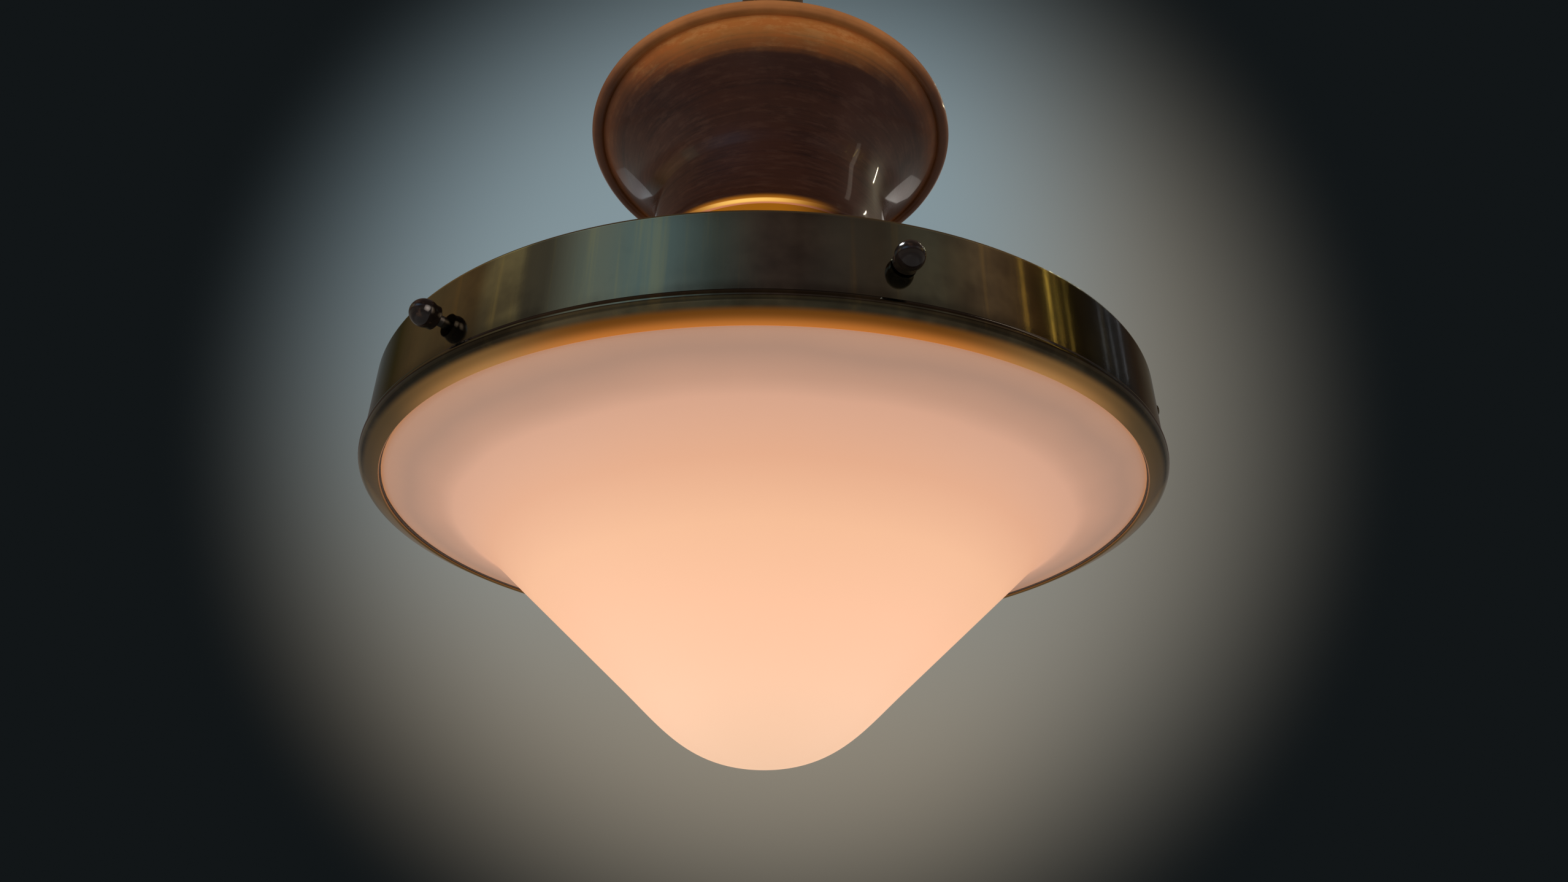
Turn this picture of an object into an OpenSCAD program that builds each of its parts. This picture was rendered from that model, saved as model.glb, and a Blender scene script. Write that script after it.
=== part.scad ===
// Ceiling lamp: a brass hoop with an opal glass bowl hangs under a spun roof,
// a copper trumpet and a brass stem. The origin is the ceiling, at the middle
// of the lamp, and everything hangs below it. Millimetres, +Z up.

/* [Ceiling fixing] */
// Thickness of the steel strap
strap_t = 2.5; // [2:0.5:3.5]
// Width of the steel strap
strap_w = 23; // [22:1:26]
// Length of the strap from end to end
strap_len = 92; // [88:1:98]
// Distance between the two ceiling screws
screw_spacing = 70; // [66:1:74]
// Diameter of the ceiling screw holes
screw_hole_d = 5.2; // [4.5:0.1:6]
// Depth of the strap's bridge below the ceiling
bridge_drop = 22; // [21:0.5:25]
// Length of the strap's bridge
bridge_len = 44; // [40:1:46]

/* [Terminal block] */
// Length of the terminal block
block_len = 24; // [22:1:26]
// Depth of the terminal block
block_w = 14; // [13:0.5:16]
// Height of the terminal block
block_h = 8; // [7:0.5:8.5]
// Distance between two ways of the block
way_pitch = 7; // [6.5:0.25:7.5]
// Diameter of one insulated wire
wire_d = 2.4; // [1.8:0.1:2.6]

/* [Stem] */
// Outside diameter of the stem
stem_d = 38; // [34:1:42]
// Wall of the stem
stem_wall = 1.2; // [1:0.1:2]
// Length of the stem's tube
stem_len = 293; // [260:1:380]
// Thread diameter of the nipple and the drop tube
nipple_d = 13; // [12:0.5:14]
// Bore of the nipple and the drop tube
nipple_bore = 9.5; // [9:0.1:10]
// Width of a lock nut across its flats
nut_af = 19; // [17:0.5:20]
// Thickness of a lock nut
nut_t = 4; // [3:0.5:5]
// Diameter of a washer
washer_d = 22; // [20:0.5:22.5]
// Thickness of a washer
washer_t = 1.2; // [1:0.1:1.6]
// Length of the plugs inside the stem
plug_len = 12; // [10:1:16]
// Thickness of the top plug's flange
top_flange_t = 3; // [2:0.5:4]
// Diameter of the bottom plug's flange
foot_flange_d = 48; // [44:1:56]
// Thickness of the bottom plug's flange
foot_flange_t = 4; // [3:0.5:6]

/* [Ceiling rose] */
// Diameter of the rose at the ceiling
rose_d = 120; // [112:1:130]
// Depth of the rose's cup
rose_h = 37; // [35:0.5:42]
// Thickness of the rose's metal
rose_t = 1.2; // [0.8:0.1:1.6]
// Height of the rose's collar
collar_h = 12; // [10:0.5:14]
// Wall of the rose's collar
collar_wall = 4.5; // [4:0.25:6]

/* [Trumpet] */
// Diameter over the rolled rim
rim_d = 200.2; // [190:0.2:210]
// Diameter of the waist
waist_d = 125; // [121:0.5:129]
// Diameter over the foot bead
foot_d = 138; // [132:1:144]
// Height of the rim's middle above the foot
rim_rise = 94.2; // [90:0.2:104]
// Height of the waist above the foot
waist_rise = 42; // [38:0.5:46]
// Slope of the bell where it meets the rim
bell_slope = 36; // [30:1:42]
// Thickness of the copper
trumpet_t = 1.2; // [1:0.1:1.6]
// Thickness of the rolled rim
rim_bead_d = 6.5; // [5:0.25:8]
// Thickness of the foot bead
foot_bead_d = 3; // [2.4:0.1:4]

/* [Roof] */
// Thickness of the roof's metal
roof_t = 1.2; // [0.8:0.1:1.6]
// Rise of the roof from the hoop's top edge to its ledge
roof_rise = 82.8; // [76:0.2:84]
// Diameter of the collar round the roof's opening
chimney_d = 110; // [100:1:112]
// Height of that collar above the ledge
chimney_h = 6.5; // [5:0.5:9]
// Vent gap between the collar and the trumpet's foot
vent_gap = 6.7; // [5:0.1:9]
// Height of the roof's skirt inside the hoop
skirt_h = 15; // [13:0.5:16]
// Thickness of the spider
spider_t = 2.5; // [2:0.5:4]
// Width of a spider arm
arm_w = 12; // [11:0.5:15]
// Diameter of the vent spacer
spacer_d = 22; // [20:0.5:24]
// Thread of the spider screws
spider_screw_d = 4; // [3:0.5:4.5]

/* [Lampholder and bulb] */
// Length of the drop tube that shows under its nut
drop_len = 28; // [20:1:40]
// Outside diameter of the porcelain body
holder_d = 42; // [40:1:46]
// Height of the holder's cap
cap_h = 20; // [18:1:24]
// Height of the porcelain body
body_h = 38; // [36:1:42]
// Thickness of the porcelain deck
deck_t = 9; // [8:0.5:11]
// Diameter over the bulb's screw cap
bulb_cap_d = 26.4; // [26:0.1:26.8]
// Diameter of the bulb
bulb_d = 60; // [50:1:64]
// Length of the bulb with its contact
bulb_len = 105; // [95:1:110]

/* [Hoop] */
// Outside diameter of the hoop's band
hoop_d = 350; // [330:1:370]
// Height of the band above its bulge
hoop_h = 32.7; // [31:0.1:36]
// Thickness of the hoop's brass
hoop_t = 1.3; // [1:0.1:1.6]
// Radius of the bulge at the hoop's bottom
bulge_r = 3.5; // [3:0.1:4.5]
// Distance that the bulge stands proud of the band
bulge_proud = 1; // [0.6:0.1:1.6]
// Reach of the lip inwards from the band's outer face
lip_reach = 7.4; // [6.8:0.1:8]
// Fall of the lip below level, in degrees
lip_fall = 25; // [20:1:30]

/* [Glass] */
// Thickness of the opal glass
glass_t = 4; // [3:0.25:4.5]
// Depth of the tip below the bulge
glass_depth = 111.5; // [104:0.5:125]
// Height of the glass rim above the bulge
glass_rim_h = 10; // [8:0.25:10.4]
// Outside radius of the corner between rim and shoulder
corner_r = 6.3; // [5.5:0.1:7]
// Fall of the shoulder, in degrees
shoulder_fall = 15; // [12:1:18]
// Diameter at which the shoulder turns down
shoulder_d = 288; // [280:1:294]
// Diameter at which the straight cone starts
cone_d = 220; // [210:1:232]
// Steepness of the cone, in degrees
cone_fall = 42.2; // [38:0.2:46]
// Diameter at which the cone turns into the tip
tip_d = 120; // [100:1:140]
// Thickness of the felt under the glass
felt_t = 1; // [0.8:0.1:1.2]

/* [Thumbscrews] */
// Diameter of a ball knob
ball_d = 10; // [9:0.2:12]
// Thread diameter of a thumbscrew
thumb_d = 4; // [3:0.5:4.5]
// Height of the thumbscrews above the bulge
thumb_rise = 16; // [15.5:0.25:17.5]

/* [Hidden] */

// Fineness of round pieces and of the curves in the spun outlines
$fn = 64;
curve_steps = 10;
arc_steps = 8;

// Clearances: a fitted shaft, a free hole, felt, and a head above its seat
fit = 0.05;
free = 0.2;
felt_gap = 0.12;
seat_gap = 0.02;

// Levels, from the ceiling down
bridge_top = -bridge_drop + strap_t;
plug_top = -bridge_drop - washer_t - nut_t;
stem_top = plug_top - top_flange_t;
stem_bottom = stem_top - stem_len;
web_top = stem_bottom - foot_flange_t;
web_under = web_top - trumpet_t;
foot_z = web_under - foot_bead_d;
chimney_top = foot_z - vent_gap;
ledge_z = chimney_top - chimney_h;
spider_top = ledge_z - roof_t;
spider_under = spider_top - spider_t;
clamp_under = spider_under - washer_t - nut_t;
holder_top = clamp_under - drop_len;
body_top = holder_top - cap_h;
deck_under = body_top - deck_t;
hoop_top = ledge_z - roof_rise;
hoop_z = hoop_top - hoop_h;
thumb_z = hoop_z + thumb_rise;

// Radii that more than one piece shares
stem_r = stem_d / 2;
stem_in_r = stem_r - stem_wall;
nipple_r = nipple_d / 2;
nipple_hole_r = nipple_r + fit;
hoop_r = hoop_d / 2;
hoop_in_r = hoop_r - hoop_t;
lip_r = hoop_r - lip_reach;
thumb_r = thumb_d / 2;

// Room inside the hoop for the press nuts and the screw tips
nut_room = 5.7;
glass_room = 5.2;
skirt_r = hoop_in_r - nut_room;
glass_r = hoop_in_r - glass_room;

// Places of the three thumbscrews and the rivet, in degrees from the front
THUMB_AT = [14, -40, 166];
// How far each thumbscrew is backed out
THUMB_OUT = [0, 2, 1];
rivet_at = 69;
rivet_rise = 24.5;

// A curve from four handles
function bend(p, n = curve_steps) = [
  for (i = [0:n])
    let (t = i / n, s = 1 - t)
      s * s * s * p[0] + 3 * s * s * t * p[1] + 3 * s * t * t * p[2] + t * t * t * p[3]
];

// Points along an arc from one angle to another
function arc(c, r, a0, a1, n = arc_steps) = [
  for (i = [0:n]) let (a = a0 + (a1 - a0) * i / n) c + r * [cos(a), sin(a)]
];

// The same outline without its first point, for a joint with the one before
function rest_of(p) = [for (i = [1:len(p) - 1]) p[i]];

function reversed(p) = [for (i = [len(p) - 1:-1:0]) p[i]];

// Direction square to an outline at one of its points, to its left
function side(p, i) =
  let (d = p[min(i + 1, len(p) - 1)] - p[max(i - 1, 0)])
    [-d[1], d[0]] / norm(d);

// The same outline moved to its left by a sheet's thickness, and kept off the axis
function shifted(p, t) = [
  for (i = [0:len(p) - 1]) let (q = p[i] + t * side(p, i)) [max(q[0], 0), q[1]]
];

// A spun sheet: an outline and its thickness, turned round the lamp's axis
module spun(p, t) {
  rotate_extrude() polygon(concat(p, reversed(shifted(p, t))));
}

// A ring or tube that stands on a level
module tube(z, h, r_out, r_in) {
  translate([0, 0, z]) difference() {
    cylinder(h = h, r = r_out);
    translate([0, 0, -1]) cylinder(h = h + 2, r = r_in);
  }
}

// A hexagonal nut that stands on a level
module hex_nut(z, h, af, r_in) {
  translate([0, 0, z]) difference() {
    cylinder(h = h, r = af / 2 / cos(30), $fn = 6);
    translate([0, 0, -1]) cylinder(h = h + 2, r = r_in);
  }
}

// Puts a piece that points along +X at an angle from the lamp's front
module at_angle(a) {
  rotate([0, 0, a - 90]) children();
}

// A rod along +X from one radius to another, at a level
module spoke(x0, x1, r, z) {
  translate([x0, 0, z]) rotate([0, 90, 0]) cylinder(h = x1 - x0, r = r);
}

// Ceiling fixing

earth_inset = 6.75;
earth_screw_r = 2;
earth_washer_r = 3.8;
earth_washer_t = 0.8;
earth_head_r = 3.2;
earth_head_h = 2.4;
earth_x = -bridge_len / 2 + earth_inset;
way_y = 18;
way_inset = 6;
block_y0 = way_y - way_inset;
block_y1 = block_y0 + block_w;
block_bottom = bridge_top;
block_top = block_bottom + block_h;
block_screw_x = way_pitch / 2;
block_screw_inset = 3;
block_screw_r = 1.25;
block_screw_y = block_y1 - block_screw_inset;
way_r = wire_d / 2 + free;
way_depth = 6;
terminal_z = block_top - 4;

module ceiling_strap() {
  foot_len = (strap_len - bridge_len) / 2;
  color("silver") difference() {
    union() {
      for (s = [-1, 1]) {
        translate([s * (bridge_len + foot_len) / 2, 0, -strap_t / 2])
          cube([foot_len, strap_w, strap_t], center = true);
        translate([s * (bridge_len / 2 - strap_t / 2), 0, -bridge_drop / 2])
          cube([strap_t, strap_w, bridge_drop], center = true);
      }
      translate([-bridge_len / 2, -strap_w / 2, -bridge_drop]) cube([bridge_len, strap_w, strap_t]);
      translate([-block_len * 0.375, 0, -bridge_drop]) cube([block_len * 0.75, block_y1, strap_t]);
    }
    for (s = [-1, 1])
      translate([s * screw_spacing / 2, 0, -strap_t - 1]) cylinder(h = strap_t + 2, d = screw_hole_d);
    translate([0, 0, -bridge_drop - 1]) cylinder(h = strap_t + 2, r = nipple_hole_r);
    translate([earth_x, 0, -bridge_drop - 1]) cylinder(h = strap_t + 2, r = earth_screw_r + fit);
    for (s = [-1, 1])
      translate([s * block_screw_x, block_screw_y, -bridge_drop - 1])
        cylinder(h = strap_t + 2, r = block_screw_r + fit);
  }
}

nipple_over_nut = 1.3;
nipple_top = bridge_top + washer_t + nut_t + nipple_over_nut;

module upper_nipple() {
  color("silver") tube(stem_top - plug_len, nipple_top - stem_top + plug_len, nipple_r, nipple_bore / 2);
}

module strap_nuts() {
  color("silver") {
    hex_nut(bridge_top + washer_t, nut_t, nut_af, nipple_hole_r);
    hex_nut(plug_top, nut_t, nut_af, nipple_hole_r);
  }
}

module strap_washers() {
  color("silver") {
    tube(bridge_top, washer_t, washer_d / 2, nipple_hole_r);
    tube(-bridge_drop - washer_t, washer_t, washer_d / 2, nipple_hole_r);
  }
}

module earth_screw() {
  color("gold") translate([earth_x, 0, bridge_top]) difference() {
    union() {
      cylinder(h = earth_washer_t, r = earth_washer_r);
      translate([0, 0, earth_washer_t]) cylinder(h = earth_head_h, r = earth_head_r);
      translate([0, 0, -strap_t - 2]) cylinder(h = strap_t + 3, r = earth_screw_r);
    }
    translate([-4, -0.5, 2.2]) cube([8, 1, 2]);
  }
}

module terminal_block() {
  color("ivory") difference() {
    translate([-block_len / 2, block_y0, block_bottom]) cube([block_len, block_w, block_h]);
    for (i = [-1:1]) {
      translate([i * way_pitch, way_y, block_top - way_depth]) cylinder(h = way_depth + 1, r = way_r);
      translate([i * way_pitch, way_y, terminal_z]) rotate([-90, 0, 0])
        cylinder(h = block_w, r = 1.4 + fit);
    }
    for (s = [-1, 1])
      translate([s * block_screw_x, block_screw_y, block_bottom - 1]) cylinder(h = 3.5, r = block_screw_r + fit);
  }
}

module terminal_screws() {
  tip_y = way_y + wire_d / 2 + seat_gap;
  color("gold") for (i = [-1:1])
    translate([i * way_pitch, tip_y, terminal_z]) rotate([-90, 0, 0]) difference() {
      cylinder(h = block_y1 - tip_y + 0.6, r = 1.4);
      translate([-2, -0.25, block_y1 - tip_y]) cube([4, 0.5, 1]);
    }
}

module block_screws() {
  color("silver") for (s = [-1, 1])
    translate([s * block_screw_x, block_screw_y, -bridge_drop]) difference() {
      union() {
        cylinder(h = strap_t + 2, r = block_screw_r);
        translate([0, 0, -1.6]) cylinder(h = 1.6, r = 2.3);
      }
      translate([-3, -0.3, -2]) cube([6, 0.6, 1]);
    }
}

// Wires: up through the stem, over and down into the terminal block

wire_step = wire_d + 0.5;
wire_end = body_top + seat_gap;
turn_z = block_top;

module wire(i) {
  x0 = i * wire_step;
  x1 = i * way_pitch;
  span = norm([x1 - x0, way_y]);
  translate([x0, 0, turn_z]) rotate([0, 0, atan2(way_y, x1 - x0)]) {
    translate([0, 0, wire_end - turn_z]) cylinder(h = turn_z - wire_end, d = wire_d);
    translate([span / 2, 0, 0]) rotate([90, 0, 0]) rotate_extrude(angle = 180)
      translate([span / 2, 0]) circle(d = wire_d);
    translate([span, 0, 1 - way_depth]) cylinder(h = way_depth - 1, d = wire_d);
  }
}

module live_wire() { color("saddlebrown") wire(-1); }
module neutral_wire() { color("royalblue") wire(1); }
module earth_wire() { color("yellowgreen") wire(0); }

// Ceiling rose, which slides down the stem

rose_r = rose_d / 2;
rose_gap = 0.5;
rose_bead_r = 1.5;
rose_hole_r = stem_r + 0.08;
rose_path = concat(
  [[rose_hole_r, -rose_h], [stem_r + collar_wall + 2, -rose_h]],
  rest_of(bend([
    [stem_r + collar_wall + 2, -rose_h], [rose_r * 0.72, -rose_h],
    [rose_r - 2, -rose_h * 0.62], [rose_r - 1.2, -rose_bead_r - 2]
  ], 16))
);

module ceiling_rose() {
  color("goldenrod") {
    spun(rose_path, rose_t);
    translate([0, 0, -rose_gap - rose_bead_r]) rotate_extrude()
      translate([rose_r - rose_bead_r, 0]) circle(r = rose_bead_r, $fn = 32);
  }
}

collar_r = stem_r + collar_wall;
collar_top = -rose_h;
grub_z = collar_top - collar_h / 2;
grub_r = 2;

module rose_collar() {
  color("goldenrod") difference() {
    translate([0, 0, collar_top]) rotate_extrude() polygon([
      [rose_hole_r, 0], [collar_r, 0], [collar_r, -collar_h + 1.5],
      [collar_r - 1.5, -collar_h], [rose_hole_r, -collar_h]
    ]);
    at_angle(0) spoke(stem_r - 2, collar_r + 2, grub_r + fit, grub_z);
  }
}

module rose_grub_screw() {
  color("gold") at_angle(0) difference() {
    spoke(stem_r + 0.1, collar_r + 1, grub_r, grub_z);
    translate([collar_r, -3, grub_z - 0.4]) cube([2, 6, 0.8]);
  }
}

// Stem

module stem() {
  color("darkgoldenrod") tube(stem_bottom, stem_len, stem_r, stem_in_r);
}

module top_plug() {
  color("darkgoldenrod") {
    tube(stem_top, top_flange_t, stem_r - 0.2, nipple_hole_r);
    tube(stem_top - plug_len, plug_len, stem_in_r - fit, nipple_hole_r);
  }
}

module bottom_plug() {
  color("darkgoldenrod") {
    tube(web_top, foot_flange_t, foot_flange_d / 2, nipple_hole_r);
    tube(stem_bottom, plug_len, stem_in_r - fit, nipple_hole_r);
  }
}

tube_in_cap = 9;

module drop_tube() {
  top = stem_bottom + plug_len;
  bottom = holder_top - tube_in_cap;
  color("goldenrod") tube(bottom, top - bottom, nipple_r, nipple_bore / 2);
}

// Copper trumpet: a foot bead, a waist and a bell with a rolled rim

foot_r = foot_d / 2;
waist_r = waist_d / 2;
rim_r = rim_d / 2;
foot_bead_r = foot_bead_d / 2;
rim_bead_r = rim_bead_d / 2;
foot_handle = 17;
throat_handle = 20;
bell_handle = 22;
wall_foot = [foot_r - foot_bead_r, foot_bead_r] + foot_bead_r * [cos(50), sin(50)];
bell_end = [rim_r - 2 * rim_bead_r + 0.4, rim_rise - 1.2];
trumpet_wall = concat(
  bend([
    wall_foot, wall_foot + [-4.5, 8],
    [waist_r, waist_rise - foot_handle], [waist_r, waist_rise]
  ]),
  rest_of(bend([
    [waist_r, waist_rise], [waist_r, waist_rise + throat_handle],
    bell_end - bell_handle * [cos(bell_slope), sin(bell_slope)], bell_end
  ]))
);

module trumpet() {
  inner = reversed(shifted(trumpet_wall, trumpet_t));
  outline = concat(
    [[nipple_hole_r, foot_bead_d], [foot_r - 2 * foot_bead_r - 2, foot_bead_d]],
    arc([foot_r - foot_bead_r, foot_bead_r], foot_bead_r, 170, 400, 12),
    rest_of(trumpet_wall),
    arc([rim_r - rim_bead_r, rim_rise], rim_bead_r, 215, 510, 16),
    rest_of(inner),
    [[foot_r - 2 * foot_bead_r - 2, foot_bead_d + trumpet_t], [nipple_hole_r, foot_bead_d + trumpet_t]]
  );
  color("saddlebrown") translate([0, 0, foot_z]) rotate_extrude($fn = 96) polygon(outline);
}

// Vent spacer, spider and their fasteners

module vent_spacer() {
  color("goldenrod") tube(spider_top, web_under - spider_top, spacer_d / 2, nipple_hole_r);
}

ARMS_AT = [0, 120, 240];
chimney_r = chimney_d / 2;
ledge_w = 16;
ledge_r = chimney_r + ledge_w;
screw_out = 7.5;
arm_inset = 4;
hub_rim = 7;
spider_screw_r = chimney_r + screw_out;
arm_end = ledge_r - arm_inset;
hub_r = nut_af / 2 + hub_rim;
clear_hole_r = spider_screw_d / 2 + 0.1;

module spider() {
  color("silver") translate([0, 0, spider_under]) linear_extrude(spider_t) difference() {
    union() {
      circle(r = hub_r);
      for (a = ARMS_AT) rotate(a) translate([0, -arm_w / 2]) square([arm_end, arm_w]);
    }
    circle(r = nipple_hole_r);
    for (a = ARMS_AT) rotate(a) translate([spider_screw_r, 0]) circle(r = clear_hole_r);
  }
}

module clamp_washer() {
  color("silver") tube(spider_under - washer_t, washer_t, washer_d / 2, nipple_hole_r);
}

module clamp_nut() {
  color("silver") hex_nut(clamp_under, nut_t, nut_af, nipple_hole_r);
}

spider_nut_t = 3.2;

module spider_screws() {
  length = roof_t + spider_t + spider_nut_t + 1;
  color("gold") for (a = ARMS_AT)
    rotate([0, 0, a]) translate([spider_screw_r, 0, ledge_z]) difference() {
      union() {
        translate([0, 0, -length]) cylinder(h = length + 1, d = spider_screw_d);
        cylinder(h = 2.4, d = 2 * spider_screw_d);
      }
      translate([-6, -0.5, 1.4]) cube([12, 1, 2]);
    }
}

module spider_nuts() {
  color("silver") for (a = ARMS_AT)
    rotate([0, 0, a]) translate([spider_screw_r, 0, 0])
      hex_nut(spider_under - spider_nut_t, spider_nut_t, 1.75 * spider_screw_d, spider_screw_d / 2 + fit);
}

// Roof: a skirt inside the hoop, a shoulder, a hollow slope, a ledge and a collar

shoulder_r = hoop_in_r - 1.1;
skirt_bottom = hoop_h - skirt_h - 5.7;
roof_path = concat(
  [[skirt_r, skirt_bottom - hoop_h]],
  bend([[skirt_r, -6.5], [skirt_r, -3.6], [shoulder_r, -4.6], [shoulder_r, -2.2]], 6),
  rest_of(bend([
    [shoulder_r, -2.2], [shoulder_r, 0.8],
    [shoulder_r - 4, 2.4], [shoulder_r - 12.6, 5.2]
  ], 6)),
  rest_of(bend([
    [shoulder_r - 12.6, 5.2], [shoulder_r - 48, 17],
    [ledge_r + 17, roof_rise * 0.48], [ledge_r + 3.5, roof_rise - 6.8]
  ], 14)),
  rest_of(bend([
    [ledge_r + 3.5, roof_rise - 6.8], [ledge_r + 2.3, roof_rise - 2.8],
    [ledge_r + 0.6, roof_rise], [ledge_r - 3, roof_rise]
  ], 6)),
  arc([chimney_r + 2, roof_rise + 2], 2, 270, 180, 5),
  [[chimney_r, roof_rise + chimney_h]]
);

module roof() {
  color("goldenrod") difference() {
    translate([0, 0, hoop_top]) spun(roof_path, roof_t, $fn = 96);
    for (a = ARMS_AT)
      rotate([0, 0, a]) translate([spider_screw_r, 0, ledge_z - roof_t - 1])
        cylinder(h = roof_t + 2, r = clear_hole_r);
  }
}

// Lampholder

holder_r = holder_d / 2;
shell_in_r = bulb_cap_d / 2 + fit;
shell_out_r = shell_in_r + 0.8;
socket_r = shell_out_r + 0.1;
socket_h = body_h - deck_t;
contact_z = deck_under - 2.5;

module holder_cap() {
  boss_r = nipple_r + 3.5;
  wall = 2;
  color("goldenrod") translate([0, 0, holder_top]) rotate_extrude() polygon(concat(
    [[nipple_hole_r, 0]],
    bend([[boss_r, 0], [holder_r - 3, -1], [holder_r, -cap_h * 0.45], [holder_r, -cap_h + 5]], 8),
    [[holder_r, -cap_h], [holder_r - wall, -cap_h]],
    bend([
      [holder_r - wall, -cap_h + 5], [holder_r - wall, -cap_h * 0.5],
      [holder_r - wall - 3, -3.5], [boss_r, -3]
    ], 8),
    [[boss_r, -tube_in_cap], [nipple_hole_r, -tube_in_cap]]
  ));
}

module holder_body() {
  color("ivory") difference() {
    translate([0, 0, body_top - body_h]) union() {
      cylinder(h = body_h, r = holder_r - 0.4);
      cylinder(h = body_h * 0.3, r = holder_r + 1);
    }
    translate([0, 0, body_top - body_h - 1]) cylinder(h = socket_h + 1, r = socket_r);
    for (s = [-1, 1])
      translate([s * 11, 0, body_top - 5]) cylinder(h = 6, r = 1.5 + fit);
  }
}

module holder_shell() {
  color("gold") tube(deck_under - socket_h + 2, socket_h - 3, shell_out_r, shell_in_r);
}

module holder_contact() {
  color("gold") translate([0, 0, contact_z]) {
    cylinder(h = deck_under - contact_z - seat_gap, r = 4);
    translate([-9, -2, deck_under - contact_z - 0.8 - seat_gap]) cube([18, 4, 0.8]);
  }
}

module holder_screws() {
  color("gold") for (s = [-1, 1])
    translate([s * 11, 0, body_top]) difference() {
      union() {
        translate([0, 0, -4.5]) cylinder(h = 5, r = 1.5);
        cylinder(h = 2, r = 3);
      }
      translate([-4, -0.4, 1.2]) cube([8, 0.8, 1]);
    }
}

// Bulb

cap_r = bulb_cap_d / 2;
bulb_r = bulb_d / 2;
tip_z = contact_z - seat_gap;
shell_top = tip_z - 4.5;
shell_h = 20;
cap_bottom = shell_top - shell_h;
bulb_bottom = tip_z - bulb_len;
neck_r = cap_r - 1;
bulb_z = bulb_bottom + bulb_r;

module bulb_contact() {
  color("dimgray") {
    translate([0, 0, tip_z - 1]) cylinder(h = 1, r = 4);
    translate([0, 0, tip_z - 4]) cylinder(h = 3, r1 = 9.5, r2 = 4.5);
  }
}

module bulb_cap() {
  color("silver") translate([0, 0, cap_bottom]) rotate_extrude() polygon([
    [neck_r + 0.1, 0], [cap_r - 0.1, 0], [cap_r, 1], [cap_r, shell_h - 2],
    [10, shell_h], [8, shell_h], [8, shell_h - 0.6], [neck_r + 0.1, shell_h - 2.6]
  ]);
}

module bulb_glass() {
  wall = 0.8;
  path = concat(
    bend([
      [0.5, -bulb_r], [bulb_r * 0.552, -bulb_r], [bulb_r, -bulb_r * 0.552], [bulb_r, 0]
    ], 10),
    rest_of(bend([
      [bulb_r, 0], [bulb_r, bulb_r * 0.8],
      [neck_r + 3, cap_bottom - bulb_z - 14], [neck_r, cap_bottom - bulb_z - 1]
    ], 10)),
    [[neck_r, cap_bottom - bulb_z + 14]]
  );
  color("whitesmoke") translate([0, 0, bulb_z]) {
    spun(path, wall);
    translate([0, 0, -bulb_r]) cylinder(h = wall, r = 3);
  }
}

filament_r = 11;

module bulb_mount() {
  color("lightgray") {
    translate([0, 0, cap_bottom - 2]) cylinder(h = 3, r = neck_r - 0.9);
    translate([0, 0, bulb_z + 6]) cylinder(h = cap_bottom - bulb_z - 7, r = 2.5);
    for (s = [-1, 1])
      translate([s * filament_r, 0, bulb_z]) cylinder(h = cap_bottom - bulb_z - 1, r = 0.5, $fn = 16);
  }
}

module bulb_filament() {
  color("gold") translate([0, 0, bulb_z - 1]) rotate_extrude(angle = 180)
    translate([filament_r, 0]) circle(r = 0.45, $fn = 16);
}

// Hoop: a band, a rolled bulge and a lip that carries the glass

bulge_c = [hoop_r + bulge_proud - bulge_r, 0];
lip_start = bulge_c + bulge_r * [sin(lip_fall), -cos(lip_fall)];
lip_z = lip_start[1] - (lip_start[0] - lip_r) * tan(lip_fall);
band_angle = acos((bulge_r - bulge_proud) / bulge_r);
hoop_path = concat(
  [[lip_r, lip_z]],
  arc(bulge_c, bulge_r, lip_fall - 90, band_angle, 14),
  [[hoop_r, hoop_h]]
);

module hoop() {
  color("darkgoldenrod") difference() {
    translate([0, 0, hoop_z]) spun(hoop_path, hoop_t, $fn = 96);
    for (a = THUMB_AT) at_angle(a) spoke(hoop_r - 6, hoop_r + 4, thumb_r + fit, thumb_z);
    at_angle(rivet_at) spoke(hoop_r - 6, hoop_r + 4, 1.5 + fit, hoop_z + rivet_rise);
  }
}

press_nut_len = 3;
press_nut_wall = 3;

module press_nuts() {
  nut_r = thumb_r + press_nut_wall;
  face = sqrt(hoop_in_r * hoop_in_r - nut_r * nut_r) - seat_gap;
  color("silver") for (a = THUMB_AT) at_angle(a) difference() {
    spoke(face - press_nut_len, face, nut_r, thumb_z);
    spoke(face - press_nut_len - 1, face + 1, thumb_r + fit, thumb_z);
  }
}

module hoop_rivet() {
  color("goldenrod") at_angle(rivet_at) {
    spoke(hoop_in_r - 1, hoop_r + 0.5, 1.5, hoop_z + rivet_rise);
    spoke(hoop_r + 0.06, hoop_r + 1.1, 2.2, hoop_z + rivet_rise);
    spoke(hoop_in_r - 1, hoop_in_r - 0.06, 2.2, hoop_z + rivet_rise);
  }
}

// Felt and glass: the corner of the glass rests on the felt, the felt on the lip

lip_in = [lip_r, lip_z] + hoop_t * [-sin(lip_fall), cos(lip_fall)];
lip_along = [cos(lip_fall), sin(lip_fall)];
lip_up = [-sin(lip_fall), cos(lip_fall)];
felt_w = 3.6;
corner_gap = corner_r + felt_t + 2 * felt_gap;
corner_c = [
  glass_r - corner_r,
  lip_in[1] + sqrt(corner_gap * corner_gap - pow(lip_in[0] - glass_r + corner_r, 2))
];

module glass_felt() {
  start = lip_in + 0.15 * lip_along + felt_gap * lip_up;
  color("dimgray") translate([0, 0, hoop_z]) rotate_extrude() polygon([
    start, start + felt_w * lip_along,
    start + felt_w * lip_along + felt_t * lip_up, start + felt_t * lip_up
  ]);
}

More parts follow.
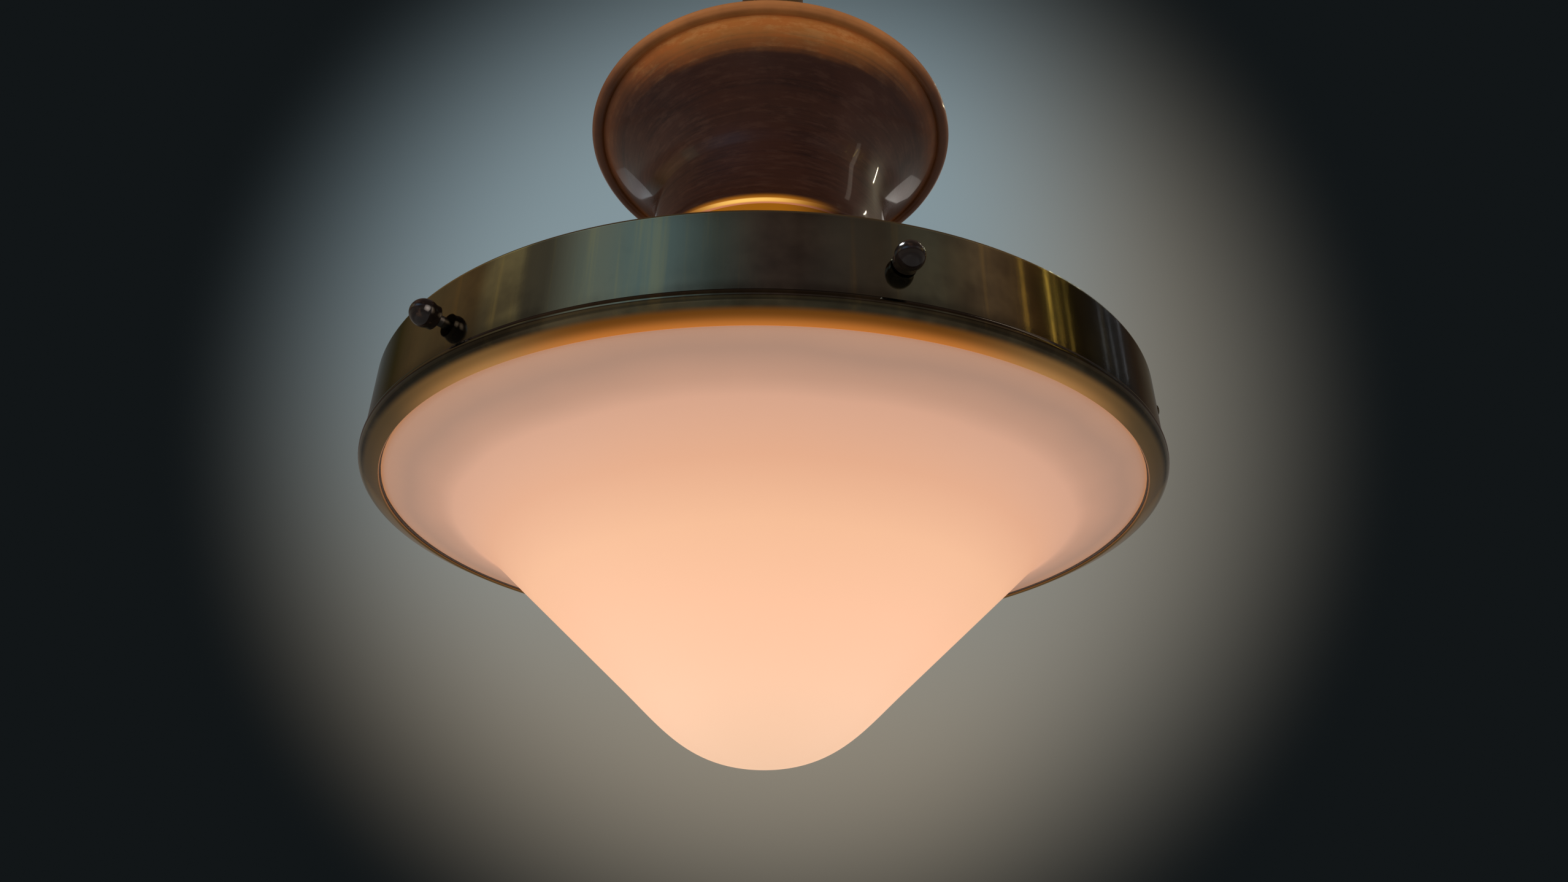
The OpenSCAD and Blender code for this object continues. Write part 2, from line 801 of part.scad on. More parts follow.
shoulder_start = corner_c - corner_r * [sin(shoulder_fall), cos(shoulder_fall)];
shoulder_end = [
  shoulder_d / 2,
  shoulder_start[1] - (shoulder_start[0] - shoulder_d / 2) * tan(shoulder_fall)
];
cone_dir = [cos(cone_fall), sin(cone_fall)];
tip_len = 24;
tip_curve = 30;
tip_end = [tip_d / 2, -glass_depth + 31.5];
cone_start = [cone_d / 2, tip_end[1] + (cone_d - tip_d) / 2 * tan(cone_fall)];
glass_path = concat(
  bend([[0, -glass_depth], [tip_curve, -glass_depth], tip_end - tip_len * cone_dir, tip_end], 14),
  rest_of(bend([
    cone_start, cone_start + 20 * cone_dir,
    shoulder_end - 12 * [cos(shoulder_fall), sin(shoulder_fall)], shoulder_end
  ], 12)),
  reversed(arc(corner_c, corner_r, 360, 270 - shoulder_fall, 8)),
  [[glass_r, glass_rim_h]]
);

module opal_glass() {
  color("bisque") translate([0, 0, hoop_z]) spun(glass_path, glass_t, $fn = 96);
}

module rim_felt() {
  top = skirt_bottom - felt_gap;
  bottom = glass_rim_h + felt_gap;
  color("dimgray") tube(hoop_z + bottom, top - bottom, glass_r, glass_r - glass_t);
}

// Thumbscrews: a shank that moves out along its thread and a ball that turns on it, with
// a thick collar whose face is flat

ball_r = ball_d / 2;
ball_gap = 0.4;
ball_x = hoop_r + ball_r - 0.4;
collar_share = 0.88;
collar_knob_r = collar_share * ball_r;

module shank(i) {
  color("dimgray") at_angle(THUMB_AT[i]) translate([THUMB_OUT[i], 0, 0])
    spoke(skirt_r + 0.06, ball_x - 2, thumb_r, thumb_z);
}

module knob(i) {
  outline = concat(
    [[thumb_r + fit, hoop_r + ball_gap], [collar_knob_r, hoop_r + ball_gap]],
    arc([0, ball_x], ball_r, -acos(collar_share), 90, 16),
    [[0, ball_x - 1.5], [thumb_r + fit, ball_x - 1.5]]
  );
  color("black") at_angle(THUMB_AT[i]) translate([THUMB_OUT[i], 0, thumb_z])
    rotate([0, 90, 0]) rotate_extrude($fn = 64) polygon(outline);
}

module screw_shank_1() { shank(0); }
module screw_shank_2() { shank(1); }
module screw_shank_3() { shank(2); }
module ball_knob_1() { knob(0); }
module ball_knob_2() { knob(1); }
module ball_knob_3() { knob(2); }

ceiling_strap();
upper_nipple();
strap_nuts();
strap_washers();
earth_screw();
terminal_block();
terminal_screws();
block_screws();
live_wire();
neutral_wire();
earth_wire();
ceiling_rose();
rose_collar();
rose_grub_screw();
stem();
top_plug();
bottom_plug();
drop_tube();
trumpet();
vent_spacer();
spider();
clamp_washer();
clamp_nut();
spider_screws();
spider_nuts();
roof();
holder_cap();
holder_body();
holder_shell();
holder_contact();
holder_screws();
bulb_contact();
bulb_cap();
bulb_glass();
bulb_mount();
bulb_filament();
hoop();
opal_glass();
glass_felt();
rim_felt();
press_nuts();
hoop_rivet();
screw_shank_1();
screw_shank_2();
screw_shank_3();
ball_knob_1();
ball_knob_2();
ball_knob_3();
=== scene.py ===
# %% [markdown]
# # A ceiling lamp of spun brass, copper and opal glass
# The lamp hangs from the ceiling by a stem. A copper trumpet covers the stem's lower end, a
# brass hoop carries a bowl of opal glass, and three ball-headed screws hold the hoop. The
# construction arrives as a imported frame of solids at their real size. This script dresses
# them: it lays spun, rolled and rounded skins over the plain solids and gives each a finish.

# %% Load the frame
from math import acos, cos, pi, radians, sin, sqrt, tan, tau

import bmesh
import bpy
from mathutils import Matrix, Vector


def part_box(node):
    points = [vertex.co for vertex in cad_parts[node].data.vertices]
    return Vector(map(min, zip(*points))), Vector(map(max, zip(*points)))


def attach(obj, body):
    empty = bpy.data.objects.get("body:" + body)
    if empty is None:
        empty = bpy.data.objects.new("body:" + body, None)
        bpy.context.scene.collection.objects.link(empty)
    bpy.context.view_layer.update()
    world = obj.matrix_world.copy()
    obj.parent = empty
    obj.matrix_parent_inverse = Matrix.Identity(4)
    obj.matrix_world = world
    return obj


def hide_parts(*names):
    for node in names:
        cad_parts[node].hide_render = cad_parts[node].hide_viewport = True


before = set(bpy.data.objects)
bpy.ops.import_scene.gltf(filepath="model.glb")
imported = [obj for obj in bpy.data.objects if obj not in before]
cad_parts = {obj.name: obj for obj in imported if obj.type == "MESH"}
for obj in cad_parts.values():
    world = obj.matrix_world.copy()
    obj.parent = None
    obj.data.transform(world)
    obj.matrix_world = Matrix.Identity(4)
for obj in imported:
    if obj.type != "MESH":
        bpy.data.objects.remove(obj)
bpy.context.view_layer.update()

mm = 0.001

# %% [markdown]
# ## The camera
# The photograph looks up at the lamp from close below, so the hoop's near side bows upwards
# and the far side is hidden behind the glass. The direction comes from the ellipses of the
# hoop and the rim. The lens is wide, and the place is given from the plane of the hoop's
# bulge, which is where the hoop is widest. How far back and how far below that plane it stands
# is counted in the hoop's radius, and its three turns are in radians. A constraint could aim
# it at the lamp, but three turns keep the photograph's slight roll.

# %% Camera
def level_of(node, end=0):
    """Height of a node's lowest (0) or highest (1) point."""
    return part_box(node)[end].z


HOOP_R, HOOP_H = 175, 32.7
CAMERA_BACK, CAMERA_BELOW = 2.3431, 0.9583
hoop_r = HOOP_R * mm
bulge_z = level_of("hoop", 1) - HOOP_H * mm

camera_data = bpy.data.cameras.new("camera")
camera_data.sensor_width = 36
camera_data.lens = 21.835
camera = bpy.data.objects.new("camera", camera_data)
bpy.context.collection.objects.link(camera)
bpy.context.scene.camera = camera

look_up, look_right, camera_roll = 0.4677, 0.0200, 0.0039
ahead = Vector((sin(look_right) * cos(look_up), cos(look_right) * cos(look_up), sin(look_up)))
across = Vector((cos(look_right), -sin(look_right), 0))
turn = Matrix.Rotation(camera_roll, 3, ahead)
across = turn.inverted() @ across
upward = across.cross(ahead)
camera.matrix_world = Matrix((across, upward, -ahead)).transposed().to_4x4()
camera.location = (0, -CAMERA_BACK * hoop_r, bulge_z - CAMERA_BELOW * hoop_r)
print("camera:", [round(c, 4) for c in camera.location])

# %% [markdown]
# ## The floor
# A plain floor lies far below the lamp and lights the undersides. It is a grid with a matt
# paint. One big face would do as well; a grid made by an operator saves listing its corners.

# %% Floor
FLOOR_Z, FLOOR_HALF = -1.5, 6
floor_shape = bmesh.new()
bmesh.ops.create_grid(floor_shape, x_segments=4, y_segments=4, size=FLOOR_HALF)
bmesh.ops.translate(floor_shape, verts=floor_shape.verts, vec=(0, 0, FLOOR_Z))
floor_mesh = bpy.data.meshes.new("floor")
floor_shape.to_mesh(floor_mesh)
floor_shape.free()
floor = bpy.data.objects.new("floor", floor_mesh)
bpy.context.collection.objects.link(floor)

floor_paint = bpy.data.materials.new("floor_paint")
floor_paint.use_nodes = True
paint_sockets = floor_paint.node_tree.nodes["Principled BSDF"].inputs
paint_sockets["Base Color"].default_value = (0.34, 0.33, 0.32, 1)
paint_sockets["Roughness"].default_value = 0.7
floor_mesh.materials.append(floor_paint)
print("floor level, in m:", FLOOR_Z)

# %% [markdown]
# ## The room round the lamp
# Polished metal has no look of its own: it shows the room. The world could be one even
# colour, but then the brass would look like plastic, so it shows a different face to each
# kind of ray. The camera sees the wall behind the lamp, painted bright round it as a pool of light
# and painted in shade further out.
# Gloss sees a room with a cool window at the left front, a dim doorway at the right, a pale
# wall behind and warm walls between, as a ramp of colours over the bearing, with a paler
# horizon and dark ground and ceiling. All other rays get a plain white light.

# %% The room's colours
FILL_LEVEL = 0.42
SURROUND, PAINTED_SHADE_RING = (0.105, 0.12, 0.125), (0.006, 0.008, 0.009)
WALL_LOW, WALL_HIGH, WALL_RIGHT = (0.27, 0.24, 0.19), (0.23, 0.3, 0.33), (0.23, 0.215, 0.18)
LOW_ROOM, HORIZON = (0.08, 0.055, 0.045), (0.2, 0.18, 0.155)

# The zones' soft borders, as the sine of a direction's climb. A border that is written from
# its higher end to its lower one fades in downwards.
HORIZON_STARTS, HORIZON_ENDS = (-0.25, -0.08), (0.36, 0.22)
WALLS_START, WALLS_END = (0.38, 0.48), (0.63, 0.68)
WALL_CLIMB, RING_TOP = (0.1, 0.65), (0.79, 0.88)
# How far to the right a direction points, and the cosine of its angle to the line of sight.
WALL_TURNS_RIGHT = (0.12, 0.42)
WALL_TO_RING, RING_TO_SURROUND = (0.83, 0.965), (0.72, 0.62)

# Bearings in degrees from the front, and the colour of the walls there.
ROOM = [
    (-180, (0.17, 0.19, 0.2)), (-142, (0.07, 0.075, 0.07)), (-127, (0.045, 0.035, 0.012)),
    (-113, (0.18, 0.12, 0.06)), (-88, (0.26, 0.19, 0.11)), (-84, (0.45, 0.42, 0.28)),
    (-73.5, (0.56, 0.56, 0.4)), (-71.5, (0.19, 0.2, 0.2)), (-64, (0.17, 0.19, 0.21)),
    (-50, (0.46, 0.66, 0.86)), (-32, (0.42, 0.66, 0.98)), (-15, (0.2, 0.25, 0.32)),
    (0, (0.19, 0.16, 0.2)), (32, (0.15, 0.12, 0.12)), (48, (0.24, 0.26, 0.27)),
    (64, (0.38, 0.3, 0.24)), (79, (0.2, 0.125, 0.055)), (94, (0.05, 0.035, 0.012)),
    (114, (0.045, 0.045, 0.045)), (128, (0.04, 0.025, 0.015)), (142, (0.08, 0.065, 0.045)),
    (180, (0.17, 0.19, 0.2)),
]
print("colours round the room:", len(ROOM))


# %% World
def fill_ramp(ramp, stops):
    """Gives a colour ramp its stops, each a position and a colour."""
    while len(ramp.elements) < len(stops):
        ramp.elements.new(0.5)
    for element, (position, colour) in zip(ramp.elements, stops):
        element.position = position
        element.color = (*colour, 1)


def make_world():
    """The wall for the camera, the room for gloss and glass, and a plain light for the rest."""
    world = bpy.data.worlds.new("studio")
    world.use_nodes = True
    tree = world.node_tree
    tree.nodes.clear()

    def add(kind, inputs, output=0, **settings):
        made = tree.nodes.new("ShaderNode" + kind)
        for key, value in settings.items():
            setattr(made, key, value)
        for key, value in inputs.items():
            if isinstance(value, bpy.types.NodeSocket):
                tree.links.new(value, made.inputs[key])
            elif isinstance(value, tuple):
                made.inputs[key].default_value = (*value, 1)
            else:
                made.inputs[key].default_value = value
        return made.outputs[output]

    def smooth(value, border):
        ends = {"Value": value, 1: border[0], 2: border[1]}
        return add("MapRange", ends, interpolation_type="SMOOTHSTEP")

    def blend(mask, first, second):
        return add("Mix", {0: mask, 6: first, 7: second}, 2, data_type="RGBA")

    def math(operation, first, second):
        return add("Math", {0: first, 1: second}, operation=operation)

    direction = add("TexCoord", {})
    x, y, z = (add("SeparateXYZ", {0: direction}, i) for i in range(3))

    bearing = math("ARCTAN2", x, math("MULTIPLY", y, -1.0))
    walls = add("ValToRGB", {0: add("MapRange", {"Value": bearing, 1: -pi, 2: pi})})
    fill_ramp(walls.node.color_ramp, [(degrees / 360 + 0.5, colour) for degrees, colour in ROOM])
    level = math("MINIMUM", smooth(z, HORIZON_STARTS), smooth(z, HORIZON_ENDS))
    room = blend(smooth(z, WALLS_START), blend(level, LOW_ROOM, HORIZON), walls)
    room = blend(smooth(z, WALLS_END), room, LOW_ROOM)

    # Painted light and shade on the camera's wall: bright round the line of sight, a dark ring
    # further out, then a dim surround.
    facing = add("VectorMath", {0: direction, 1: ahead}, 1, operation="DOT_PRODUCT")
    near = math("POWER", smooth(facing, WALL_TO_RING), 1.5)
    beyond = math("MAXIMUM", smooth(facing, RING_TO_SURROUND), smooth(z, RING_TOP))
    wall = blend(smooth(z, WALL_CLIMB), WALL_LOW, WALL_HIGH)
    wall = blend(smooth(x, WALL_TURNS_RIGHT), wall, WALL_RIGHT)
    wall = blend(beyond, blend(near, PAINTED_SHADE_RING, wall), SURROUND)

    rays = add("LightPath", {}).node.outputs
    mirrored = math("MAXIMUM", rays["Is Glossy Ray"], rays["Is Transmission Ray"])
    light = add("Background", {0: (1, 1, 1), 1: FILL_LEVEL})
    rest = add("MixShader", {0: mirrored, 1: light, 2: add("Background", {0: room})})
    backdrop = add("Background", {0: wall})
    seen = add("MixShader", {0: rays["Is Camera Ray"], 1: rest, 2: backdrop})
    output = tree.nodes.new("ShaderNodeOutputWorld")
    tree.links.new(seen, output.inputs[0])
    bpy.context.scene.world = world
    print("world:", len(tree.nodes), "nodes")


make_world()

# %% [markdown]
# ## Studio lights
# Four soft lights give an even level, at which a colour renders about as it is written, and
# metal doesn't mirror them. What it does mirror are lights that light nothing else. They
# could be painted into the world, but thin lines would come out blurred there, so each is an
# area light.

# %% Light makers
STRIP_AT = 0.35


def area_light(name, place, aim, size, watts, colour, mirrored, upright=(0, 0, 1), spread=180):
    """A rectangular light that points at a place; a mirrored one shows in gloss alone."""
    data = bpy.data.lights.new(name, "AREA")
    data.shape = "RECTANGLE"
    data.size, data.size_y = size
    data.energy = watts
    data.color = colour
    data.spread = radians(spread)
    light = bpy.data.objects.new(name, data)
    bpy.context.collection.objects.link(light)
    light.visible_camera = False
    light.visible_glossy = mirrored
    light.visible_diffuse = not mirrored
    back = (Vector(place) - Vector(aim)).normalized()
    right = Vector(upright).cross(back).normalized()
    light.matrix_world = Matrix((right, back.cross(right), back)).transposed().to_4x4()
    light.location = place


def towards(origin, bearing, climb, distance):
    """A place seen from another at a bearing from the front and a climb, in degrees."""
    level = distance * cos(radians(climb))
    across, ahead = level * sin(radians(bearing)), level * cos(radians(bearing))
    return origin + Vector((across, -ahead, distance * sin(radians(climb))))


def strip_light(name, origin, start, stop, width, watts, colour):
    """A thin light that spans two directions seen from a place close to it."""
    low, high = towards(origin, *start, STRIP_AT), towards(origin, *stop, STRIP_AT)
    size = (width, (high - low).length)
    area_light(name, (low + high) / 2, origin, size, watts, colour, True, high - low)


def on_lamp(x, y, above_bulge):
    """A place on the lamp, in mm from its axis and above the hoop's bulge."""
    return Vector((x, y, bulge_z / mm + above_bulge)) * mm


# %% Soft lights
middle = Vector((0, 0, bulge_z + 60 * mm))
area_light("left_window", (-1.75, -0.55, -0.25), middle, (0.9, 1.5), 15, (0.95, 0.95, 0.92), False)
area_light("right_window", (1.7, -0.75, -0.3), middle, (0.55, 1.4), 11, (0.93, 0.97, 1), False)
area_light("front_soft", (-0.5, -2.1, -1.1), middle, (1.2, 0.8), 7, (1, 0.96, 0.9), False)
area_light("back_soft", (0.4, 1.9, 0.4), middle, (1.2, 0.8), 10, (1, 0.98, 0.95), False)
bpy.context.scene.view_settings.view_transform = "Standard"

# %% [markdown]
# ## Lights for the mirror images
# The hoop's right shows golden streaks and, further round, faint cool ones, where light falls
# through gaps. The trumpet's neck shows a door's gap and its two limbs are edged with pale
# light. These lights stand close to the copper, so that the hoop doesn't catch them. Each of
# the two ball knobs in front mirrors a small window, close to it for the same reason.

# %% Gaps mirrored in the hoop
GAP_CLIMB, GAP_AT = 30, 1.5
GOLD_WATTS_PER_M = 6
for bearing, width in ((70, 0.003), (79, 0.009), (82, 0.003), (86, 0.002)):
    place = towards(middle, bearing, GAP_CLIMB, GAP_AT)
    watts = GOLD_WATTS_PER_M * width
    area_light("golden_gap", place, middle, (width, 0.26), watts, (1, 0.74, 0.16), True)
for bearing in (101, 106, 112):
    place = towards(middle, bearing, GAP_CLIMB, GAP_AT)
    area_light("cool_gap", place, middle, (0.003, 0.24), 0.004, (0.7, 0.82, 1), True)

# %% Gaps mirrored in the trumpet
neck = on_lamp(52, -36, 170)
strip_light("door_gap", neck, (110, 26), (121, 40), 0.0016, 0.055, (1, 0.9, 0.62))
strip_light("door_foot", neck, (119, 47), (123, 52), 0.0016, 0.022, (1, 0.9, 0.66))
strip_light("faint_gap", neck, (77, 18), (89, 54), 0.025, 0.02, (1, 0.85, 0.7))
right_limb, left_limb = on_lamp(66, 0, 190), on_lamp(-72, 10, 200)
strip_light("right_limb", right_limb, (142, 12), (157, 42), 0.07, 0.02, (1, 0.92, 0.86))
strip_light("left_limb", left_limb, (-141, 8), (-161, 38), 0.07, 0.011, (0.92, 0.94, 1))

# %% Windows mirrored in the ball knobs
THUMB_UP = 16
front_knob, left_knob = on_lamp(44, -176, THUMB_UP), on_lamp(-118, -140, THUMB_UP)
area_light(
    "spark", towards(front_knob, -105, 66, 0.12), front_knob, (0.045, 0.02), 0.007,
    (0.85, 0.93, 1), True, spread=30,
)
area_light(
    "knob_window", towards(left_knob, 38, 14, 0.1), left_knob, (0.07, 0.1), 0.015,
    (1, 0.84, 0.74), True, (0.35, 0, 1), 60,
)

# %% [markdown]
# ## Outlines and the lathe
# Spun metal and blown glass are round about one axis. Each is drawn as an outline of radius
# and height, with curves from four handles and arcs, and is turned on a lathe: the spin
# operator, closed with use_merge. A cylinder with loop cuts could be pulled into the same
# shape, but an outline keeps every radius exact and is easy to correct. A sheet's outline runs
# along one face and back along the other, so the shell has its real thickness.

# %% Outlines
SAME_POINT = 1e-4


def bend(handles, count):
    """Points on a curve from four handles."""
    a, b, c, d = (Vector(p) for p in handles)
    points = []
    for i in range(count + 1):
        t = i / count
        s = 1 - t
        points.append(a * s**3 + b * 3 * s * s * t + c * 3 * s * t * t + d * t**3)
    return points


def arc(centre, r, start, stop, count):
    """Points on an arc, with its angles in degrees."""
    turns = [radians(start + (stop - start) * i / count) for i in range(count + 1)]
    return [Vector(centre) + r * Vector((cos(a), sin(a))) for a in turns]


def chain(*runs):
    """Joins runs of points and leaves out a point that repeats the one before it."""
    points = []
    for run in runs:
        for point in run:
            if not points or (Vector(point) - points[-1]).length > SAME_POINT:
                points.append(Vector(point))
    return points


def other_face(outline, thickness):
    """The outline's other face: each point moved to its left by the sheet's thickness."""
    moved = []
    last = len(outline) - 1
    for i, point in enumerate(outline):
        along = outline[min(i + 1, last)] - outline[max(i - 1, 0)]
        left = Vector((-along.y, along.x)).normalized()
        q = point + left * thickness
        moved.append(Vector((max(q.x, 0), q.y)))
    return moved


def sheet_of(outline, thickness):
    """A closed outline for a sheet of one thickness."""
    return outline + other_face(outline, thickness)[::-1]


# %% The lathe
MERGE_WITHIN = 0.5e-6


def lathe(outline, base_z=0, steps=192):
    """Spins a closed outline of (radius, height) in mm about the lamp's axis."""
    shape = bmesh.new()
    ring = [shape.verts.new((p[0] * mm, 0, p[1] * mm + base_z)) for p in outline]
    edges = [shape.edges.new((a, b)) for a, b in zip(ring, ring[1:] + ring[:1])]
    bmesh.ops.spin(
        shape, geom=ring + edges, cent=(0, 0, 0), axis=(0, 0, 1),
        angle=tau, steps=steps, use_merge=True,
    )
    bmesh.ops.remove_doubles(shape, verts=shape.verts, dist=MERGE_WITHIN)
    bmesh.ops.dissolve_degenerate(shape, edges=shape.edges, dist=MERGE_WITHIN)
    bmesh.ops.recalc_face_normals(shape, faces=shape.faces)
    return shape


# %% [markdown]
# ## From a shape to a piece
# A finished shape is shaded smooth, with a sharp edge wherever two faces meet at a clear
# angle. It then gets its finish and two facts: the body that it rides on when a joint moves,
# and the plain solid that it takes the place of, which is hidden. One function does this for
# each piece, so that neither is forgotten.

# %% Pieces
CREASE = 35


def make_piece(name, shape, finish, body, nodes):
    """Turns a bmesh into a piece with a finish that rides on a body and stands for CAD nodes."""
    for face in shape.faces:
        face.smooth = True
    for edge in shape.edges:
        edge.smooth = len(edge.link_faces) == 2 and edge.calc_face_angle(0) < radians(CREASE)
    mesh = bpy.data.meshes.new(name)
    shape.to_mesh(mesh)
    shape.free()
    mesh.materials.append(finish)
    piece = bpy.data.objects.new(name, mesh)
    bpy.context.collection.objects.link(piece)
    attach(piece, body)
    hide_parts(*nodes)
    print(f"{name}: {len(mesh.polygons)} faces, {[round(d / mm, 1) for d in piece.dimensions]} mm")


# %% [markdown]
# ## A small language for finishes
# A finish is a material made of nodes. They could be added and linked one by one, but a sum
# of three noises would take a dozen lines and hide what it means. So a link wraps a node's
# output and overloads the arithmetic operators, and `1 - mask` adds a Math node by itself.
# Any other node comes from one method that takes its type, settings and inputs.

# %% Links
class Link:
    """One output of a shader node, with arithmetic written as in Python."""

    def __init__(self, finish, socket):
        self.finish = finish
        self.socket = socket

    def math(self, operation, *values):
        return self.finish.add("Math", {"operation": operation}, dict(enumerate(values)))

    def __add__(self, other):
        return self.math("ADD", self, other)

    __radd__ = __add__

    def __sub__(self, other):
        return self.math("SUBTRACT", self, other)

    def __rsub__(self, other):
        return self.math("SUBTRACT", other, self)

    def __mul__(self, other):
        return self.math("MULTIPLY", self, other)

    __rmul__ = __mul__

    def __truediv__(self, other):
        return self.math("DIVIDE", self, other)

    def __pow__(self, other):
        return self.math("POWER", self, other)

    def sine(self):
        """The sine of an angle in radians."""
        return self.math("SINE", self)

    def step(self, low, high):
        """0 below low, 1 above high and smooth between them, for low above high too."""
        settings = {"interpolation_type": "SMOOTHSTEP"}
        return self.finish.add("MapRange", settings, {"Value": self, 1: low, 2: high})


# %% Finishes
class Finish:
    """A node material under construction, on the lamp's own coordinates in metres."""

    def __init__(self, name, **sockets):
        self.material = bpy.data.materials.new(name)
        self.material.use_nodes = True
        self.tree = self.material.node_tree
        self.shader = self.tree.nodes["Principled BSDF"]
        self.place = self.add("TexCoord", output="Object")
        self.x, self.y, self.z = (
            self.add("SeparateXYZ", {}, {0: self.place}, output=i) for i in range(3)
        )
        self.radius = (self.x * self.x + self.y * self.y) ** 0.5
        for name, value in sockets.items():
            self.set(name.replace("_", " "), value)

    def add(self, kind, settings=None, inputs=None, output=0):
        """Adds a node: its settings first, then the values or links of its sockets."""
        node = self.tree.nodes.new("ShaderNode" + kind)
        for key, value in (settings or {}).items():
            if key == "stops":
                fill_ramp(node.color_ramp, value)
            else:
                setattr(node, key, value)
        for key, value in (inputs or {}).items():
            self.join(node.inputs[key], value)
        return Link(self, node.outputs[output])

    def join(self, socket, value):
        """Links a socket of a node, or sets its value."""
        if isinstance(value, Link):
            self.tree.links.new(value.socket, socket)
        elif socket.type == "RGBA" and len(value) == 3:
            socket.default_value = (*value, 1)
        else:
            socket.default_value = value

    def set(self, socket, value):
        """Sets or links a socket of the shader."""
        self.join(self.shader.inputs[socket], value)

    def vector(self, x, y, z):
        """A vector from three numbers or links."""
        return self.add("CombineXYZ", {}, {0: x, 1: y, 2: z})

    def noise(self, scale, detail=3, vector=None, roughness=0.55):
        """Cloudy noise from 0 to 1; scale is in features per metre."""
        return self.add("TexNoise", {}, {
            "Vector": vector or self.place, "Scale": scale, "Detail": detail,
            "Roughness": roughness,
        })

    def stretched(self, sx, sy, sz):
        """The lamp's coordinates with each axis scaled, for streaks."""
        return self.add("Mapping", {}, {"Vector": self.place, "Scale": (sx, sy, sz)})

    def rings(self, scale):
        """Fine noise that is the same all round the axis, as spinning marks are."""
        return self.noise(scale, 4, self.vector(self.radius, self.z, 0), 0.7)

    def mix(self, mask, first, second):
        """Goes from the first colour to the second as the mask goes from 0 to 1."""
        inputs = {0: mask, 6: first, 7: second}
        return self.add("Mix", {"data_type": "RGBA"}, inputs, output=2)

    def bump(self, height, depth_mm, strength):
        """Raises the surface by a height of 0 to 1 times a depth."""
        inputs = {"Height": height, "Distance": depth_mm * mm, "Strength": strength}
        self.set("Normal", self.add("Bump", {}, inputs))

    def done(self):
        """Says what was made and hands over the material."""
        print(f"{self.material.name}: {len(self.tree.nodes)} nodes")
        return self.material


# %% [markdown]
# ## Metal finishes
# Old brass isn't one yellow. Where hands polish it, it stays bright, and where they don't it
# turns olive and brown. Spinning leaves fine rings that catch the light across the piece, and
# wiping leaves faint upright streaks. A picture of brass could be wrapped on, but it would
# stretch over a spun shape, so noise on the lamp's own coordinates makes the clouds, specks
# and rings. One maker of metal finishes takes the clean colour, the tarnish and how much of
# each shows.

# %% Metal finishes
def metal(name, bright, tarnish, cover, roughness, rings=0.0, pits=0.0):
    """A metal with clouds of tarnish, and with rings and pits where asked."""
    f = Finish(name, Metallic=1.0)
    clouds = f.noise(28, 5, roughness=0.62)
    specks = f.noise(240, 3)
    wiped = f.noise(90, 3, f.stretched(1, 1, 0.06))
    amount = clouds * 0.75 + specks * 0.15 + wiped * 0.1
    mask = amount.step(cover - 0.16, cover + 0.16)
    f.set("Base Color", f.mix(mask, bright, tarnish))
    ring = f.rings(900)
    ring_gloss = (ring - 0.5) * (0.12 * rings)
    f.set("Roughness", roughness + mask * 0.1 + (specks - 0.5) * 0.08 + ring_gloss)
    grain = f.noise(1400, 2)
    height = ring * rings + grain * 0.15 + specks * pits
    f.bump(height, 0.02 + 0.03 * rings + 0.03 * pits, 0.5)
    return f.done()


zinc_steel = metal("zinc_steel", (0.56, 0.57, 0.58), (0.36, 0.37, 0.37), 0.55, 0.36, pits=0.6)
bright_brass = metal("bright_brass", (0.76, 0.53, 0.23), (0.5, 0.33, 0.13), 0.56, 0.26)
aged_brass = metal("aged_brass", (0.42, 0.29, 0.12), (0.17, 0.125, 0.06), 0.46, 0.28, rings=0.8)
stem_brass = metal("stem_brass", (0.6, 0.42, 0.18), (0.27, 0.18, 0.08), 0.54, 0.2, rings=0.3)
roof_brass = metal("roof_brass", (0.36, 0.25, 0.1), (0.13, 0.095, 0.045), 0.45, 0.32, rings=1.0)
dark_steel = metal("dark_steel", (0.16, 0.16, 0.165), (0.07, 0.065, 0.06), 0.5, 0.34)
cap_metal = metal("cap_metal", (0.62, 0.6, 0.55), (0.42, 0.39, 0.33), 0.55, 0.3)

# %% [markdown]
# ## The hoop's brass
# The hoop's band is dark olive brown with clouds of green and fine upright streaks where it
# was wiped. Its sharp top edge is painted pale all round as a highlight. The lip below is
# golden and catches the orange light of the glass, which is painted on: the lip's front gets a
# more orange gold, and, as one colour there would look flat, that light is also an emission
# that starts dark at the bulge, brightens towards the glass and is deepest in front.

# %% Hoop brass
OLIVE, BROWN, GREEN = (0.19, 0.148, 0.083), (0.072, 0.053, 0.034), (0.14, 0.15, 0.1)
DULL, GOLD, LOW_DARK = (0.07, 0.05, 0.03), (0.3, 0.21, 0.08), (0.045, 0.035, 0.022)
LIP_GOLD_AND_LIT_FRONT, EDGE_HIGHLIGHT = ((0.3, 0.2, 0.085), (0.44, 0.165, 0.024)), (0.55, 0.47, 0.26)
LIP_GLOW_OUTER = (0.09, 0.037, 0.008), (0.012, 0.003, 0.001)
LIP_GLOW_INNER = (0.3, 0.135, 0.04), (0.38, 0.12, 0.024)


